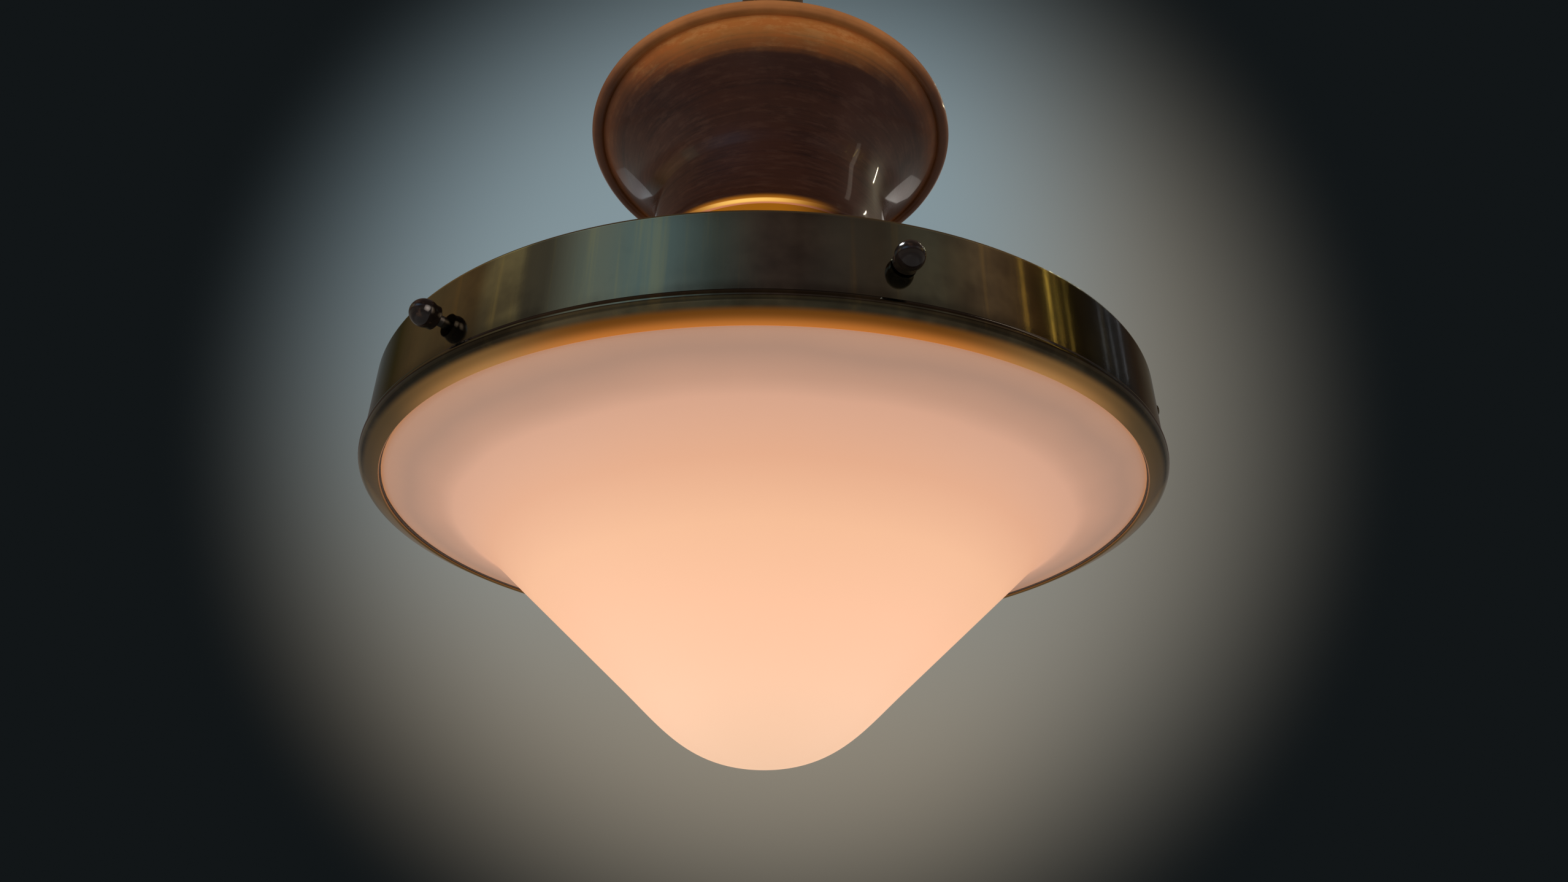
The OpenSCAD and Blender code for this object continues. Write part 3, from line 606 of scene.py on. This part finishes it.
def hoop_finish():
    """Brass by zones, with painted light on the lip and a painted highlight on the top edge; a
    pair of colours is for the hoop's sides and its front.
    """
    f = Finish("hoop_brass", Metallic=1.0, Emission_Strength=1.0)
    height = f.z - bulge_z
    clouds = f.noise(13, 5, roughness=0.6)
    bloom = f.noise(9, 3, f.stretched(1, 1, 0.35))
    streak = f.noise(210, 4, f.stretched(1, 1, 0.035), 0.6)
    broad = f.noise(46, 2, f.stretched(1, 1, 0.05))
    specks = f.noise(380, 2)

    brass = f.mix(clouds.step(0.4, 0.62), OLIVE, BROWN)
    brass = f.mix(bloom.step(0.5, 0.64) * 0.75, brass, GREEN)
    brass = f.mix(broad.step(0.46, 0.32) * 0.5, brass, DULL)
    brass = f.mix((streak * 0.6 + broad * 0.4).step(0.52, 0.66) * 0.45, brass, GOLD)
    # Darker in clouds low on the band, towards the bulge.
    low_dark = height.step(7 * mm, 2.5 * mm) * clouds.step(0.36, 0.56) * 0.7
    brass = f.mix(low_dark, brass, LOW_DARK)

    lip = height.step(-1 * mm, -3 * mm) * f.radius.step(174.6 * mm, 172.2 * mm)
    lit = (f.y / f.radius).step(-0.58, -0.84)
    front = (f.y / f.radius).step(-0.84, -0.96)
    inner = f.radius.step(174 * mm, 167.8 * mm) ** 2.4
    glow = f.mix(inner, f.mix(front, *LIP_GLOW_OUTER), f.mix(front, *LIP_GLOW_INNER))
    # Painted highlight: the top edge is pale all round.
    edge = height.step(31.6 * mm, 32.5 * mm)
    # Painted light: the lip's front gets a more orange gold for the glass's light on it.
    brass = f.mix(lip, brass, f.mix(front, *LIP_GOLD_AND_LIT_FRONT))
    f.set("Base Color", f.mix(edge, brass, EDGE_HIGHLIGHT))
    f.set("Emission Color", f.mix(lip * (0.1 + lit * 0.9), (0, 0, 0), glow))
    f.set("Roughness", 0.08 + (clouds - 0.5) * 0.2 + (streak - 0.5) * 0.08)
    f.bump(streak * 0.5 + broad * 0.3 + specks * 0.2, 0.05, 0.4)
    return f.done()


hoop_brass = hoop_finish()

# %% [markdown]
# ## The trumpet's copper
# The copper is dark brown under old lacquer, and the lacquer is worn off near the rim, where
# the bell is orange, in front and behind. Its sides get painted shade: the orange starts higher
# there and is darker. A painted glow warms the bare copper in front and behind, as the lamp's
# light would. Rings from the spinning tool run round it, and short scratches cross them. A
# picture wrapped round the bell would show a seam, so noise on the lamp's own coordinates
# draws all of it.

# %% Trumpet copper
DARK_COPPER = (0.046, 0.015, 0.008), (0.022, 0.0075, 0.005)
BARE_COPPER = (1, 0.38, 0.085), (0.7, 0.2, 0.04)
BARE_SCRATCH, DARK_SCRATCH = (1, 0.5, 0.17), (0.08, 0.034, 0.02)
RIM_BEAD, SHADED, BARE_GLOW = (0.5, 0.19, 0.06), (0.2, 0.07, 0.03), (0.06, 0.02, 0.004)
trumpet_foot = level_of("trumpet")


def copper_finish():
    """Dark lacquered copper that goes over into bare copper near the rim, with painted shade at
    the sides and a painted glow in front and behind.
    """
    f = Finish(
        "trumpet_copper", Metallic=0.2, IOR=1.35, Coat_IOR=1.3, Coat_Roughness=0.05,
        Emission_Strength=1.0,
    )
    height = f.z - trumpet_foot
    clouds = f.noise(22, 5, roughness=0.62)
    fine = f.rings(700)
    broad = f.rings(120)
    specks = f.noise(300, 2)
    wear = clouds * 0.5 + fine * 0.25 + broad * 0.25
    dark = f.mix(wear.step(0.42, 0.62), *DARK_COPPER)
    side = (f.y * f.y) ** 0.5 / f.radius
    # Painted shade: the orange zone starts higher at the bell's sides.
    rise = height - side.step(0.97, 0.66) * (3.5 * mm)
    bare = (rise + (wear - 0.5) * (26 * mm)).step(80 * mm, 97 * mm)
    copper = f.mix(wear.step(0.4, 0.58), *BARE_COPPER)
    scratch = f.noise(75, 4, f.stretched(1, 1, 5), 0.7).step(0.48, 0.66)
    copper = f.mix(scratch * 0.45, copper, BARE_SCRATCH)
    dark = f.mix(scratch * 0.4, dark, DARK_SCRATCH)
    copper = f.mix(f.radius.step(93.4 * mm, 95 * mm), copper, RIM_BEAD)
    # Painted shade: the copper is darkened at the bell's sides.
    shaded = side.step(0.88, 0.45) * 0.85
    f.set("Base Color", f.mix(bare, dark, f.mix(shaded, copper, SHADED)))
    front = (f.y / f.radius).step(-0.6, -0.92)
    f.set("Coat Weight", (0.9 - bare * 0.75) * (1 - front * 0.75))
    f.set("Roughness", 0.4 + (fine - 0.5) * 0.14 + (clouds - 0.5) * 0.08)
    f.bump(fine * 0.6 + broad * 0.4 + specks * 0.15, 0.05, 0.3)

    # Painted light: an emission warms the bare copper in front and behind, as the lamp's light on
    # it.
    bell_glow = f.mix(bare * (1 - shaded), (0, 0, 0), BARE_GLOW)
    leak, foot_glow = light_under_foot(f, height)
    f.set("Emission Color", f.mix(leak, bell_glow, foot_glow))
    return f.done()


# %% [markdown]
# ## The light under the foot
# The lamp's light leaks out of the gap under the trumpet. It edges the foot bead with yellow,
# reddens the underside and fades up the wall. A real light inside would need many samples to
# find its way out, so this one is an emission too. It is strongest in the middle, a little to
# the left, and low on the wall.

# %% Light under the foot
BEAD_GLOW = (0.55, 0.2, 0.015), (1, 0.58, 0.13)
UNDER_GLOW = (0.14, 0.03, 0.015), (0.55, 0.19, 0.09)
WALL_GLOW = (0.36, 0.12, 0.005)
GLOW_LEFT_BY = 9


def light_under_foot(f, height):
    """How much of the light shows at each place of the trumpet, and its colour."""
    from_middle = f.x + GLOW_LEFT_BY * mm
    aside = (from_middle * from_middle) ** 0.5
    bead = f.mix(aside.step(34 * mm, 2 * mm), *BEAD_GLOW)
    under = f.mix(f.radius.step(60 * mm, 66.5 * mm), *UNDER_GLOW)
    line = f.mix(f.radius.step(67.6 * mm, 68.6 * mm), under, bead)
    leak = height.step(7 * mm, 1.8 * mm) * aside.step(44 * mm, 12 * mm)
    return leak, f.mix(height.step(1.2 * mm, 1.9 * mm), line, WALL_GLOW)


trumpet_copper = copper_finish()

# %% [markdown]
# ## Opal glass, lit
# Opal glass glows from within: it is peach at the tip, near the bulb, and pinker and dimmer
# towards the hoop, with a faint darker band where the shoulder turns. The glow is emission
# that follows the height, with only slight clouds, and the skin is smooth and glossy. Real
# scattering in the glass would be slower and hard to steer.

# %% Opal glass
GLOW_SPAN = 112
GLOW = [
    (0.0, (0.78, 0.47, 0.29)),
    (0.21, (0.83, 0.46, 0.27)),
    (0.4, (0.84, 0.425, 0.235)),
    (0.61, (0.76, 0.375, 0.19)),
    (0.76, (0.62, 0.275, 0.135)),
    (0.88, (0.53, 0.25, 0.145)),
    (0.932, (0.28, 0.133, 0.078)),
    (0.96, (0.37, 0.17, 0.09)),
]
GLOW_BY_LIP = (0.46, 0.18, 0.05)
MILKY = (0.34, 0.3, 0.275), (0.37, 0.325, 0.295)
glass_tip = level_of("opal_glass")


def opal_finish():
    """Milky glass whose glow goes by its height over the tip."""
    f = Finish("opal_glass", Roughness=0.25, IOR=1.45, Emission_Strength=1.0)
    height = (f.z - glass_tip) / (GLOW_SPAN * mm)
    clouds = f.noise(14, 3) - 0.5
    glow = f.add("ValToRGB", {"stops": GLOW}, {0: height + clouds * 0.03})
    beside_lip = f.radius.step(165.4 * mm, 167.8 * mm)
    f.set("Emission Color", f.mix(beside_lip, glow, GLOW_BY_LIP))
    f.set("Base Color", f.mix(clouds + 0.5, *MILKY))
    f.bump(f.noise(60, 2), 0.05, 0.15)
    return f.done()


opal = opal_finish()

# %% [markdown]
# ## Dark balls, felt, ceramics, wires and the bulb
# The ball knobs are black lacquer, worn a little brown. Felt is fibrous and has no gloss.
# Porcelain is glazed, with faint stains. The wires have a soft plastic cover, and the bulb's
# frosted glass and its filament glow. Each kind gets one maker, so that a second colour of it
# costs one line.

# %% Makers of small finishes
def lacquer_finish():
    f = Finish("black_ball", Coat_Weight=0.5, Coat_Roughness=0.05, IOR=1.3)
    worn = f.noise(260, 4).step(0.56, 0.74)
    f.set("Base Color", f.mix(worn, (0.01, 0.006, 0.005), (0.05, 0.024, 0.014)))
    f.set("Roughness", 0.16 + worn * 0.2)
    f.bump(f.noise(700, 3), 0.03, 0.25)
    return f.done()


def felt_finish():
    f = Finish("grey_felt")
    fibres = f.noise(2200, 4, roughness=0.75)
    tufts = f.noise(500, 3)
    f.set("Base Color", f.mix(fibres.step(0.35, 0.65), (0.09, 0.088, 0.085), (0.2, 0.195, 0.185)))
    f.set("Roughness", 0.92 + (tufts - 0.5) * 0.1)
    f.bump(fibres * 0.6 + tufts * 0.4, 0.3, 0.8)
    return f.done()


def ceramic_finish(name, clean, stained, roughness):
    f = Finish(name)
    stain = f.noise(70, 5, roughness=0.65).step(0.5, 0.75)
    dots = f.noise(900, 2).step(0.66, 0.74)
    f.set("Base Color", f.mix(stain * 0.6 + dots * 0.3, clean, stained))
    f.set("Roughness", roughness + stain * 0.2)
    f.bump(f.noise(240, 3), 0.04, 0.3)
    return f.done()


def plastic_finish(name, colour, shade):
    f = Finish(name)
    rub = f.noise(160, 4)
    f.set("Base Color", f.mix(rub.step(0.4, 0.7), colour, shade))
    f.set("Roughness", 0.42 + (rub - 0.5) * 0.2)
    f.bump(f.noise(900, 2), 0.03, 0.3)
    return f.done()


def glowing_finish(name, base, glow, strength, roughness):
    f = Finish(name, Emission_Strength=strength)
    cloud = f.noise(120, 3)
    f.set("Base Color", f.mix(cloud, base, tuple(c * 0.92 for c in base)))
    f.set("Emission Color", f.mix(cloud, glow, tuple(c * 0.9 for c in glow)))
    f.set("Roughness", roughness + (cloud - 0.5) * 0.1)
    return f.done()


# %% Small finishes
black_ball = lacquer_finish()
grey_felt = felt_finish()
porcelain = ceramic_finish("porcelain", (0.78, 0.76, 0.7), (0.6, 0.53, 0.42), 0.18)
ivory_block = ceramic_finish("ivory_block", (0.74, 0.68, 0.54), (0.55, 0.46, 0.32), 0.4)
mount_glass = ceramic_finish("mount_glass", (0.7, 0.74, 0.72), (0.6, 0.63, 0.6), 0.1)
black_glass = ceramic_finish("black_glass", (0.02, 0.018, 0.022), (0.05, 0.04, 0.04), 0.15)
brown_wire = plastic_finish("brown_wire", (0.19, 0.07, 0.03), (0.13, 0.05, 0.024))
blue_wire = plastic_finish("blue_wire", (0.03, 0.12, 0.42), (0.025, 0.09, 0.33))
bulb_frost = glowing_finish("bulb_glass", (0.85, 0.8, 0.7), (1.0, 0.74, 0.42), 1.1, 0.35)
hot_wire = glowing_finish("filament", (0.4, 0.3, 0.2), (1.0, 0.6, 0.2), 2.0, 0.4)


# %% Striped wire
STRIPE_TWIST = 420


def striped_wire_finish():
    """The earth wire is green with a yellow stripe that winds round it."""
    f = Finish("green_wire")
    wave = (f.y.math("ARCTAN2", f.y, f.x) + f.z * STRIPE_TWIST).sine()
    f.set("Base Color", f.mix(wave.step(0.1, 0.3), (0.05, 0.3, 0.05), (0.75, 0.62, 0.05)))
    f.set("Roughness", 0.42 + (f.noise(160, 4) - 0.5) * 0.2)
    f.bump(f.noise(900, 2), 0.03, 0.3)
    return f.done()


green_wire = striped_wire_finish()

# %% [markdown]
# ## The hoop
# The band is one strip of brass with its bottom rolled out into a bulge and turned in under
# the glass as a lip. A ring with a thin torus joined below would be quicker, but the joint
# would show in the mirror images. So one outline climbs from the lip round the bulge to the
# top edge, and the sheet gets its thickness inwards. The cut edges are then rounded by a
# bevel, because a perfectly sharp edge catches no light.

# %% Hoop
HOOP_T = 1.3
BULGE_R, BULGE_PROUD = 3.5, 1.0
LIP_R, LIP_FALL = 167.6, 25
hoop_in_r = HOOP_R - HOOP_T

bulge_x = HOOP_R + BULGE_PROUD - BULGE_R
lip_down = Vector((sin(radians(LIP_FALL)), -cos(radians(LIP_FALL))))
lip_start = Vector((bulge_x, 0)) + BULGE_R * lip_down
lip_z = lip_start.y - (lip_start.x - LIP_R) * tan(radians(LIP_FALL))
band_angle = acos((BULGE_R - BULGE_PROUD) / BULGE_R) * 180 / pi
hoop_outline = chain(
    [(LIP_R, lip_z)],
    arc((bulge_x, 0), BULGE_R, LIP_FALL - 90, band_angle, 20),
    [(HOOP_R, HOOP_H * 0.3), (HOOP_R, HOOP_H * 0.6), (HOOP_R, HOOP_H - 0.8), (HOOP_R, HOOP_H)],
)


def soften_rims(shape, width, angle=50):
    """Rounds the edges where two faces meet at more than an angle."""
    limit = radians(angle)
    sharp = [e for e in shape.edges if len(e.link_faces) == 2 and e.calc_face_angle(0) > limit]
    bmesh.ops.bevel(
        shape, geom=sharp, offset=width * mm, offset_type="OFFSET", affect="EDGES",
        segments=3, profile=0.5, material=-1, clamp_overlap=True,
    )


hoop_shape = lathe(sheet_of(hoop_outline, HOOP_T), bulge_z, steps=256)
soften_rims(hoop_shape, 0.35)
make_piece("hoop", hoop_shape, hoop_brass, "hoop", ["hoop"])

# %% [markdown]
# ## The opal bowl
# From the tip, a short round nose runs into a straight cone, a soft turn leads to the nearly
# flat shoulder, and a tight corner stands up inside the hoop. The rim is ground flat. A
# flattened sphere would miss the straight cone, so curves with four handles join a few
# measured radii, and the slopes between them are given in degrees.

# %% Opal bowl
GLASS_T, GLASS_DEPTH, GLASS_RIM, GLASS_GAP = 4, 111.5, 10, 5.2
CORNER_R, SHOULDER_FALL, CONE_FALL = 6.3, 15, 42.2
SHOULDER_R, CONE_R, TIP_R, TIP_RISE = 144, 110, 60, 31.5
FELT_T, FELT_GAP = 1.0, 0.12
glass_r = hoop_in_r - GLASS_GAP


def slope(degrees):
    """One unit outwards along a line that climbs at an angle."""
    return Vector((cos(radians(degrees)), sin(radians(degrees))))


# The corner's arc stands off the lip's upper edge by the felt.
lip_in = Vector((LIP_R, lip_z)) - HOOP_T * lip_down
corner_gap = CORNER_R + FELT_T + 2 * FELT_GAP
corner_rise = sqrt(corner_gap**2 - (lip_in.x - glass_r + CORNER_R) ** 2)
corner = Vector((glass_r - CORNER_R, lip_in.y + corner_rise))
shoulder_up = Vector((sin(radians(SHOULDER_FALL)), cos(radians(SHOULDER_FALL))))
shoulder_start = corner - CORNER_R * shoulder_up
shoulder_fall = (shoulder_start.x - SHOULDER_R) * tan(radians(SHOULDER_FALL))
shoulder_end = Vector((SHOULDER_R, shoulder_start.y - shoulder_fall))
tip_end = Vector((TIP_R, TIP_RISE - GLASS_DEPTH))
cone_end = Vector((CONE_R, tip_end.y + (CONE_R - TIP_R) * tan(radians(CONE_FALL))))
glass_outline = chain(
    bend([(0, -GLASS_DEPTH), (30, -GLASS_DEPTH), tip_end - 24 * slope(CONE_FALL), tip_end], 28),
    bend([tip_end, tip_end.lerp(cone_end, 1 / 3), tip_end.lerp(cone_end, 2 / 3), cone_end], 10),
    bend([
        cone_end, cone_end + 20 * slope(CONE_FALL),
        shoulder_end - 12 * slope(SHOULDER_FALL), shoulder_end,
    ], 24),
    arc(corner, CORNER_R, 270 + SHOULDER_FALL, 360, 14),
    [(glass_r, GLASS_RIM)],
)
glass_shape = lathe(sheet_of(glass_outline, GLASS_T), bulge_z, steps=224)
soften_rims(glass_shape, 0.5, 60)
make_piece("opal_glass", glass_shape, opal, "hoop", ["opal_glass"])

# %% [markdown]
# ## The copper trumpet
# The trumpet hides the stem's foot. It rises from a rolled foot bead through a narrow waist
# to a wide bell, whose edge is rolled round a wire. Its flat web, inside, is clamped
# between the stem's plug and the spacer. A curve with a Screw modifier would give the same
# bell, but the lathe closes wall, beads and web in one turn.

# %% Trumpet
RIM_R, WAIST_R, FOOT_R = 100.1, 62.5, 69
RIM_RISE, WAIST_RISE, BELL_SLOPE = 94.2, 42, 36
RIM_BEAD_R, FOOT_BEAD_R, TRUMPET_T = 3.25, 1.5, 1.2
NIPPLE_HOLE_R = 6.55

waist = (WAIST_R, WAIST_RISE)
wall_foot = Vector((FOOT_R - FOOT_BEAD_R, FOOT_BEAD_R)) + FOOT_BEAD_R * slope(50)
bell_end = Vector((RIM_R - 2 * RIM_BEAD_R + 0.4, RIM_RISE - 1.2))
trumpet_wall = chain(
    bend([wall_foot, wall_foot + Vector((-4.5, 8)), (WAIST_R, WAIST_RISE - 17), waist], 22),
    bend([waist, (WAIST_R, WAIST_RISE + 20), bell_end - 22 * slope(BELL_SLOPE), bell_end], 44),
)
web_end = FOOT_R - 2 * FOOT_BEAD_R - 2
web_under = 2 * FOOT_BEAD_R
trumpet_outline = chain(
    [(NIPPLE_HOLE_R, web_under), (web_end, web_under)],
    arc((FOOT_R - FOOT_BEAD_R, FOOT_BEAD_R), FOOT_BEAD_R, 170, 400, 20),
    trumpet_wall,
    arc((RIM_R - RIM_BEAD_R, RIM_RISE), RIM_BEAD_R, 215, 510, 28),
    other_face(trumpet_wall, TRUMPET_T)[::-1],
    [(web_end, web_under + TRUMPET_T), (NIPPLE_HOLE_R, web_under + TRUMPET_T)],
)
trumpet_shape = lathe(trumpet_outline, trumpet_foot, steps=224)
make_piece("trumpet", trumpet_shape, trumpet_copper, "frame", ["trumpet"])

# %% [markdown]
# ## The roof
# The spun roof closes the lamp over the glass. Its skirt stands inside the hoop, its slope is
# hollow, and the collar at the top leaves a gap under the trumpet for the heat to escape. The
# photograph doesn't show it, but from the side it is the lamp's widest slope. Sheet that is
# spun has no corners, so its curves share their end points and run into one another.

# %% Roof
ROOF_T, ROOF_RISE = 1.2, 82.8
CHIMNEY_R, CHIMNEY_H, CHIMNEY_TURN = 55, 6.5, 2
LEDGE_W, SKIRT_H, SKIRT_GAP, SHOULDER_GAP = 16, 15, 5.7, 1.1
hoop_top = level_of("hoop", 1)
skirt_r, shoulder_r = hoop_in_r - SKIRT_GAP, hoop_in_r - SHOULDER_GAP
skirt_bottom = HOOP_H - SKIRT_H - SKIRT_GAP
ledge_r = CHIMNEY_R + LEDGE_W

skirt_top, eave = (skirt_r, -6.5), (shoulder_r, -2.2)
slope_low, slope_high = (shoulder_r - 12.6, 5.2), (ledge_r + 3.5, ROOF_RISE - 6.8)
ledge = (ledge_r - 3, ROOF_RISE)
roof_outline = chain(
    [(skirt_r, skirt_bottom - HOOP_H)],
    bend([skirt_top, (skirt_r, -3.6), (shoulder_r, -4.6), eave], 12),
    bend([eave, (shoulder_r, 0.8), (shoulder_r - 4, 2.4), slope_low], 12),
    bend([slope_low, (shoulder_r - 48, 17), (ledge_r + 17, ROOF_RISE * 0.48), slope_high], 30),
    bend([slope_high, (ledge_r + 2.3, ROOF_RISE - 2.8), (ledge_r + 0.6, ROOF_RISE), ledge], 12),
    arc((CHIMNEY_R + CHIMNEY_TURN, ROOF_RISE + CHIMNEY_TURN), CHIMNEY_TURN, 270, 180, 10),
    [(CHIMNEY_R, ROOF_RISE + CHIMNEY_H)],
)
roof_shape = lathe(sheet_of(roof_outline, ROOF_T), hoop_top)
soften_rims(roof_shape, 0.3)
make_piece("roof", roof_shape, roof_brass, "frame", ["roof"])

# %% [markdown]
# ## Stem, ceiling rose and collar
# The stem is a drawn tube, left bright. The rose is a shallow spun cup with a beaded edge,
# and a collar with turned lines holds it up on the stem. The tube could be a cylinder without
# ends, but the lathe gives it its wall too, which shows where it is cut.

# %% Stem
STEM_R, STEM_T = 19, 1.2
stem_low, stem_high = (z / mm for z in (level_of("stem"), level_of("stem", 1)))
stem_shape = lathe([
    (STEM_R, stem_low), (STEM_R, stem_high),
    (STEM_R - STEM_T, stem_high), (STEM_R - STEM_T, stem_low),
], steps=128)
soften_rims(stem_shape, 0.3)
make_piece("stem", stem_shape, stem_brass, "frame", ["stem"])

# %% Ceiling rose
ROSE_R, ROSE_H, ROSE_T, ROSE_BEAD_R = 60, 37, 1.2, 1.5
ROSE_GAP, SLIDE_GAP = 0.5, 0.08
HOLE_R, COLLAR_R = STEM_R + SLIDE_GAP, STEM_R + 4.5
rose_wall = chain(
    [(HOLE_R, -ROSE_H), (COLLAR_R + 2, -ROSE_H)],
    bend([
        (COLLAR_R + 2, -ROSE_H), (ROSE_R * 0.72, -ROSE_H),
        (ROSE_R - 2, -ROSE_H * 0.62), (ROSE_R - 1.2, -ROSE_BEAD_R - 2),
    ], 30),
)
rose_outline = chain(
    rose_wall,
    arc((ROSE_R - ROSE_BEAD_R, -ROSE_GAP - ROSE_BEAD_R), ROSE_BEAD_R, -60, 190, 18),
    other_face(rose_wall, ROSE_T)[::-1],
)
make_piece("ceiling_rose", lathe(rose_outline), aged_brass, "rose", ["ceiling_rose"])

# %% Collar
COLLAR_H, COLLAR_GAP = 12, 0.05
GROOVE_DEPTH, GROOVE_HALF = 0.5, 0.3
collar_low = -ROSE_H - COLLAR_H


def turned_line(level):
    """A fine groove round the collar."""
    return [
        (COLLAR_R, level + GROOVE_HALF), (COLLAR_R - GROOVE_DEPTH, level),
        (COLLAR_R, level - GROOVE_HALF),
    ]


collar_outline = chain(
    [(HOLE_R, -ROSE_H - COLLAR_GAP), (COLLAR_R - 0.6, -ROSE_H - COLLAR_GAP)],
    [(COLLAR_R, -ROSE_H - 0.7)],
    turned_line(-ROSE_H - 2.1),
    turned_line(collar_low + 3.1),
    bend([
        (COLLAR_R, collar_low + 1.5), (COLLAR_R, collar_low + 0.6),
        (COLLAR_R - 0.6, collar_low), (COLLAR_R - 1.5, collar_low),
    ], 8),
    [(HOLE_R, collar_low)],
)
collar_shape = lathe(collar_outline, steps=128)
make_piece("rose_collar", collar_shape, aged_brass, "rose", ["rose_collar"])

# %% [markdown]
# ## Thumbscrews and the rivet
# Each ball is turned from one bar, with a thick collar that stops against the hoop. Spinning
# it at its place would need a tilted axis for each. Instead it is drawn upright, spun as all
# the rest, and laid down by a matrix so that it points outwards. Each is screwed in by a
# different amount, as hands leave them. The rivet is made the same way.

# %% Thumbscrews
THUMB_AT = {1: 14, 2: -40, 3: 166}
BACKED_OUT = {1: 0, 2: 2, 3: 1}
BALL_R, BALL_GAP, BORE_R, BORE_LEFT = 5, 0.4, 2.05, 1.5
NECK_SHARE = 0.88
thumb_z = bulge_z + THUMB_UP * mm


def spoke_matrix(degrees, z):
    """Lays a piece that was turned about Z along the direction outwards, at a level."""
    return (
        Matrix.Translation((0, 0, z))
        @ Matrix.Rotation(radians(degrees - 90), 4, "Z")
        @ Matrix.Rotation(radians(90), 4, "Y")
    )


ball_x = HOOP_R + BALL_R - BALL_GAP
knob_start = HOOP_R + BALL_GAP
neck_r = NECK_SHARE * BALL_R
ball_angle = -acos(neck_r / BALL_R) * 180 / pi
knob_outline = chain(
    [(BORE_R, knob_start), (neck_r - 0.3, knob_start), (neck_r, knob_start + 0.3)],
    arc((0, ball_x), BALL_R, ball_angle, 90, 30),
    [(0, ball_x - BORE_LEFT), (BORE_R, ball_x - BORE_LEFT)],
)
for number, degrees in THUMB_AT.items():
    knob = lathe(knob_outline, steps=64)
    bmesh.ops.translate(knob, verts=knob.verts, vec=(0, 0, BACKED_OUT[number] * mm))
    bmesh.ops.transform(knob, matrix=spoke_matrix(degrees, thumb_z), verts=knob.verts)
    name = f"ball_knob_{number}"
    make_piece(name, knob, black_ball, f"knob_{number}", [name])

# %% Rivet
RIVET_AT, RIVET_UP, RIVET_R, RIVET_HEAD_R, RIVET_GAP = 69, 24.5, 1.5, 2.2, 0.06
tail_z, head_z = hoop_in_r - RIVET_GAP, HOOP_R + RIVET_GAP
rivet_outline = chain(
    [(0, hoop_in_r - 1), (1.8, hoop_in_r - 1), (RIVET_HEAD_R, hoop_in_r - 0.7)],
    [(RIVET_HEAD_R, tail_z), (RIVET_R, tail_z), (RIVET_R, head_z), (RIVET_HEAD_R, head_z)],
    bend([
        (RIVET_HEAD_R, HOOP_R + 0.2), (2.1, HOOP_R + 0.8),
        (1.2, HOOP_R + 1.1), (0, HOOP_R + 1.1),
    ], 8),
)
rivet = lathe(rivet_outline, steps=40)
rivet_z = bulge_z + RIVET_UP * mm
bmesh.ops.transform(rivet, matrix=spoke_matrix(RIVET_AT, rivet_z), verts=rivet.verts)
make_piece("hoop_rivet", rivet, hoop_brass, "hoop", ["hoop_rivet"])

# %% [markdown]
# ## Finishes for the pieces that keep their solids
# Nuts, washers, wires and the lampholder have the right shape already. They could be drawn
# again, but that would add nothing that shows, so each gets its finish on its own solid.

# %% Finishes on solids
KEPT = {
    zinc_steel: [
        "ceiling_strap", "upper_nipple", "strap_nuts", "strap_washers", "spider",
        "clamp_washer", "clamp_nut", "spider_nuts", "press_nuts", "block_screws",
    ],
    bright_brass: [
        "earth_screw", "terminal_screws", "rose_grub_screw", "spider_screws",
        "holder_shell", "holder_contact", "holder_screws",
    ],
    aged_brass: ["drop_tube", "vent_spacer", "holder_cap"],
    stem_brass: ["top_plug", "bottom_plug"],
    ivory_block: ["terminal_block"],
    porcelain: ["holder_body"],
    black_glass: ["bulb_contact"],
    cap_metal: ["bulb_cap"],
    bulb_frost: ["bulb_glass"],
    mount_glass: ["bulb_mount"],
    hot_wire: ["bulb_filament"],
    grey_felt: ["glass_felt", "rim_felt"],
    brown_wire: ["live_wire"],
    blue_wire: ["neutral_wire"],
    green_wire: ["earth_wire"],
    dark_steel: ["screw_shank_1", "screw_shank_2", "screw_shank_3"],
}
for finish, nodes in KEPT.items():
    for node in nodes:
        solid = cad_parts[node]
        solid.data.materials.clear()
        solid.data.materials.append(finish)
print("solids with a finish:", sum(len(nodes) for nodes in KEPT.values()))
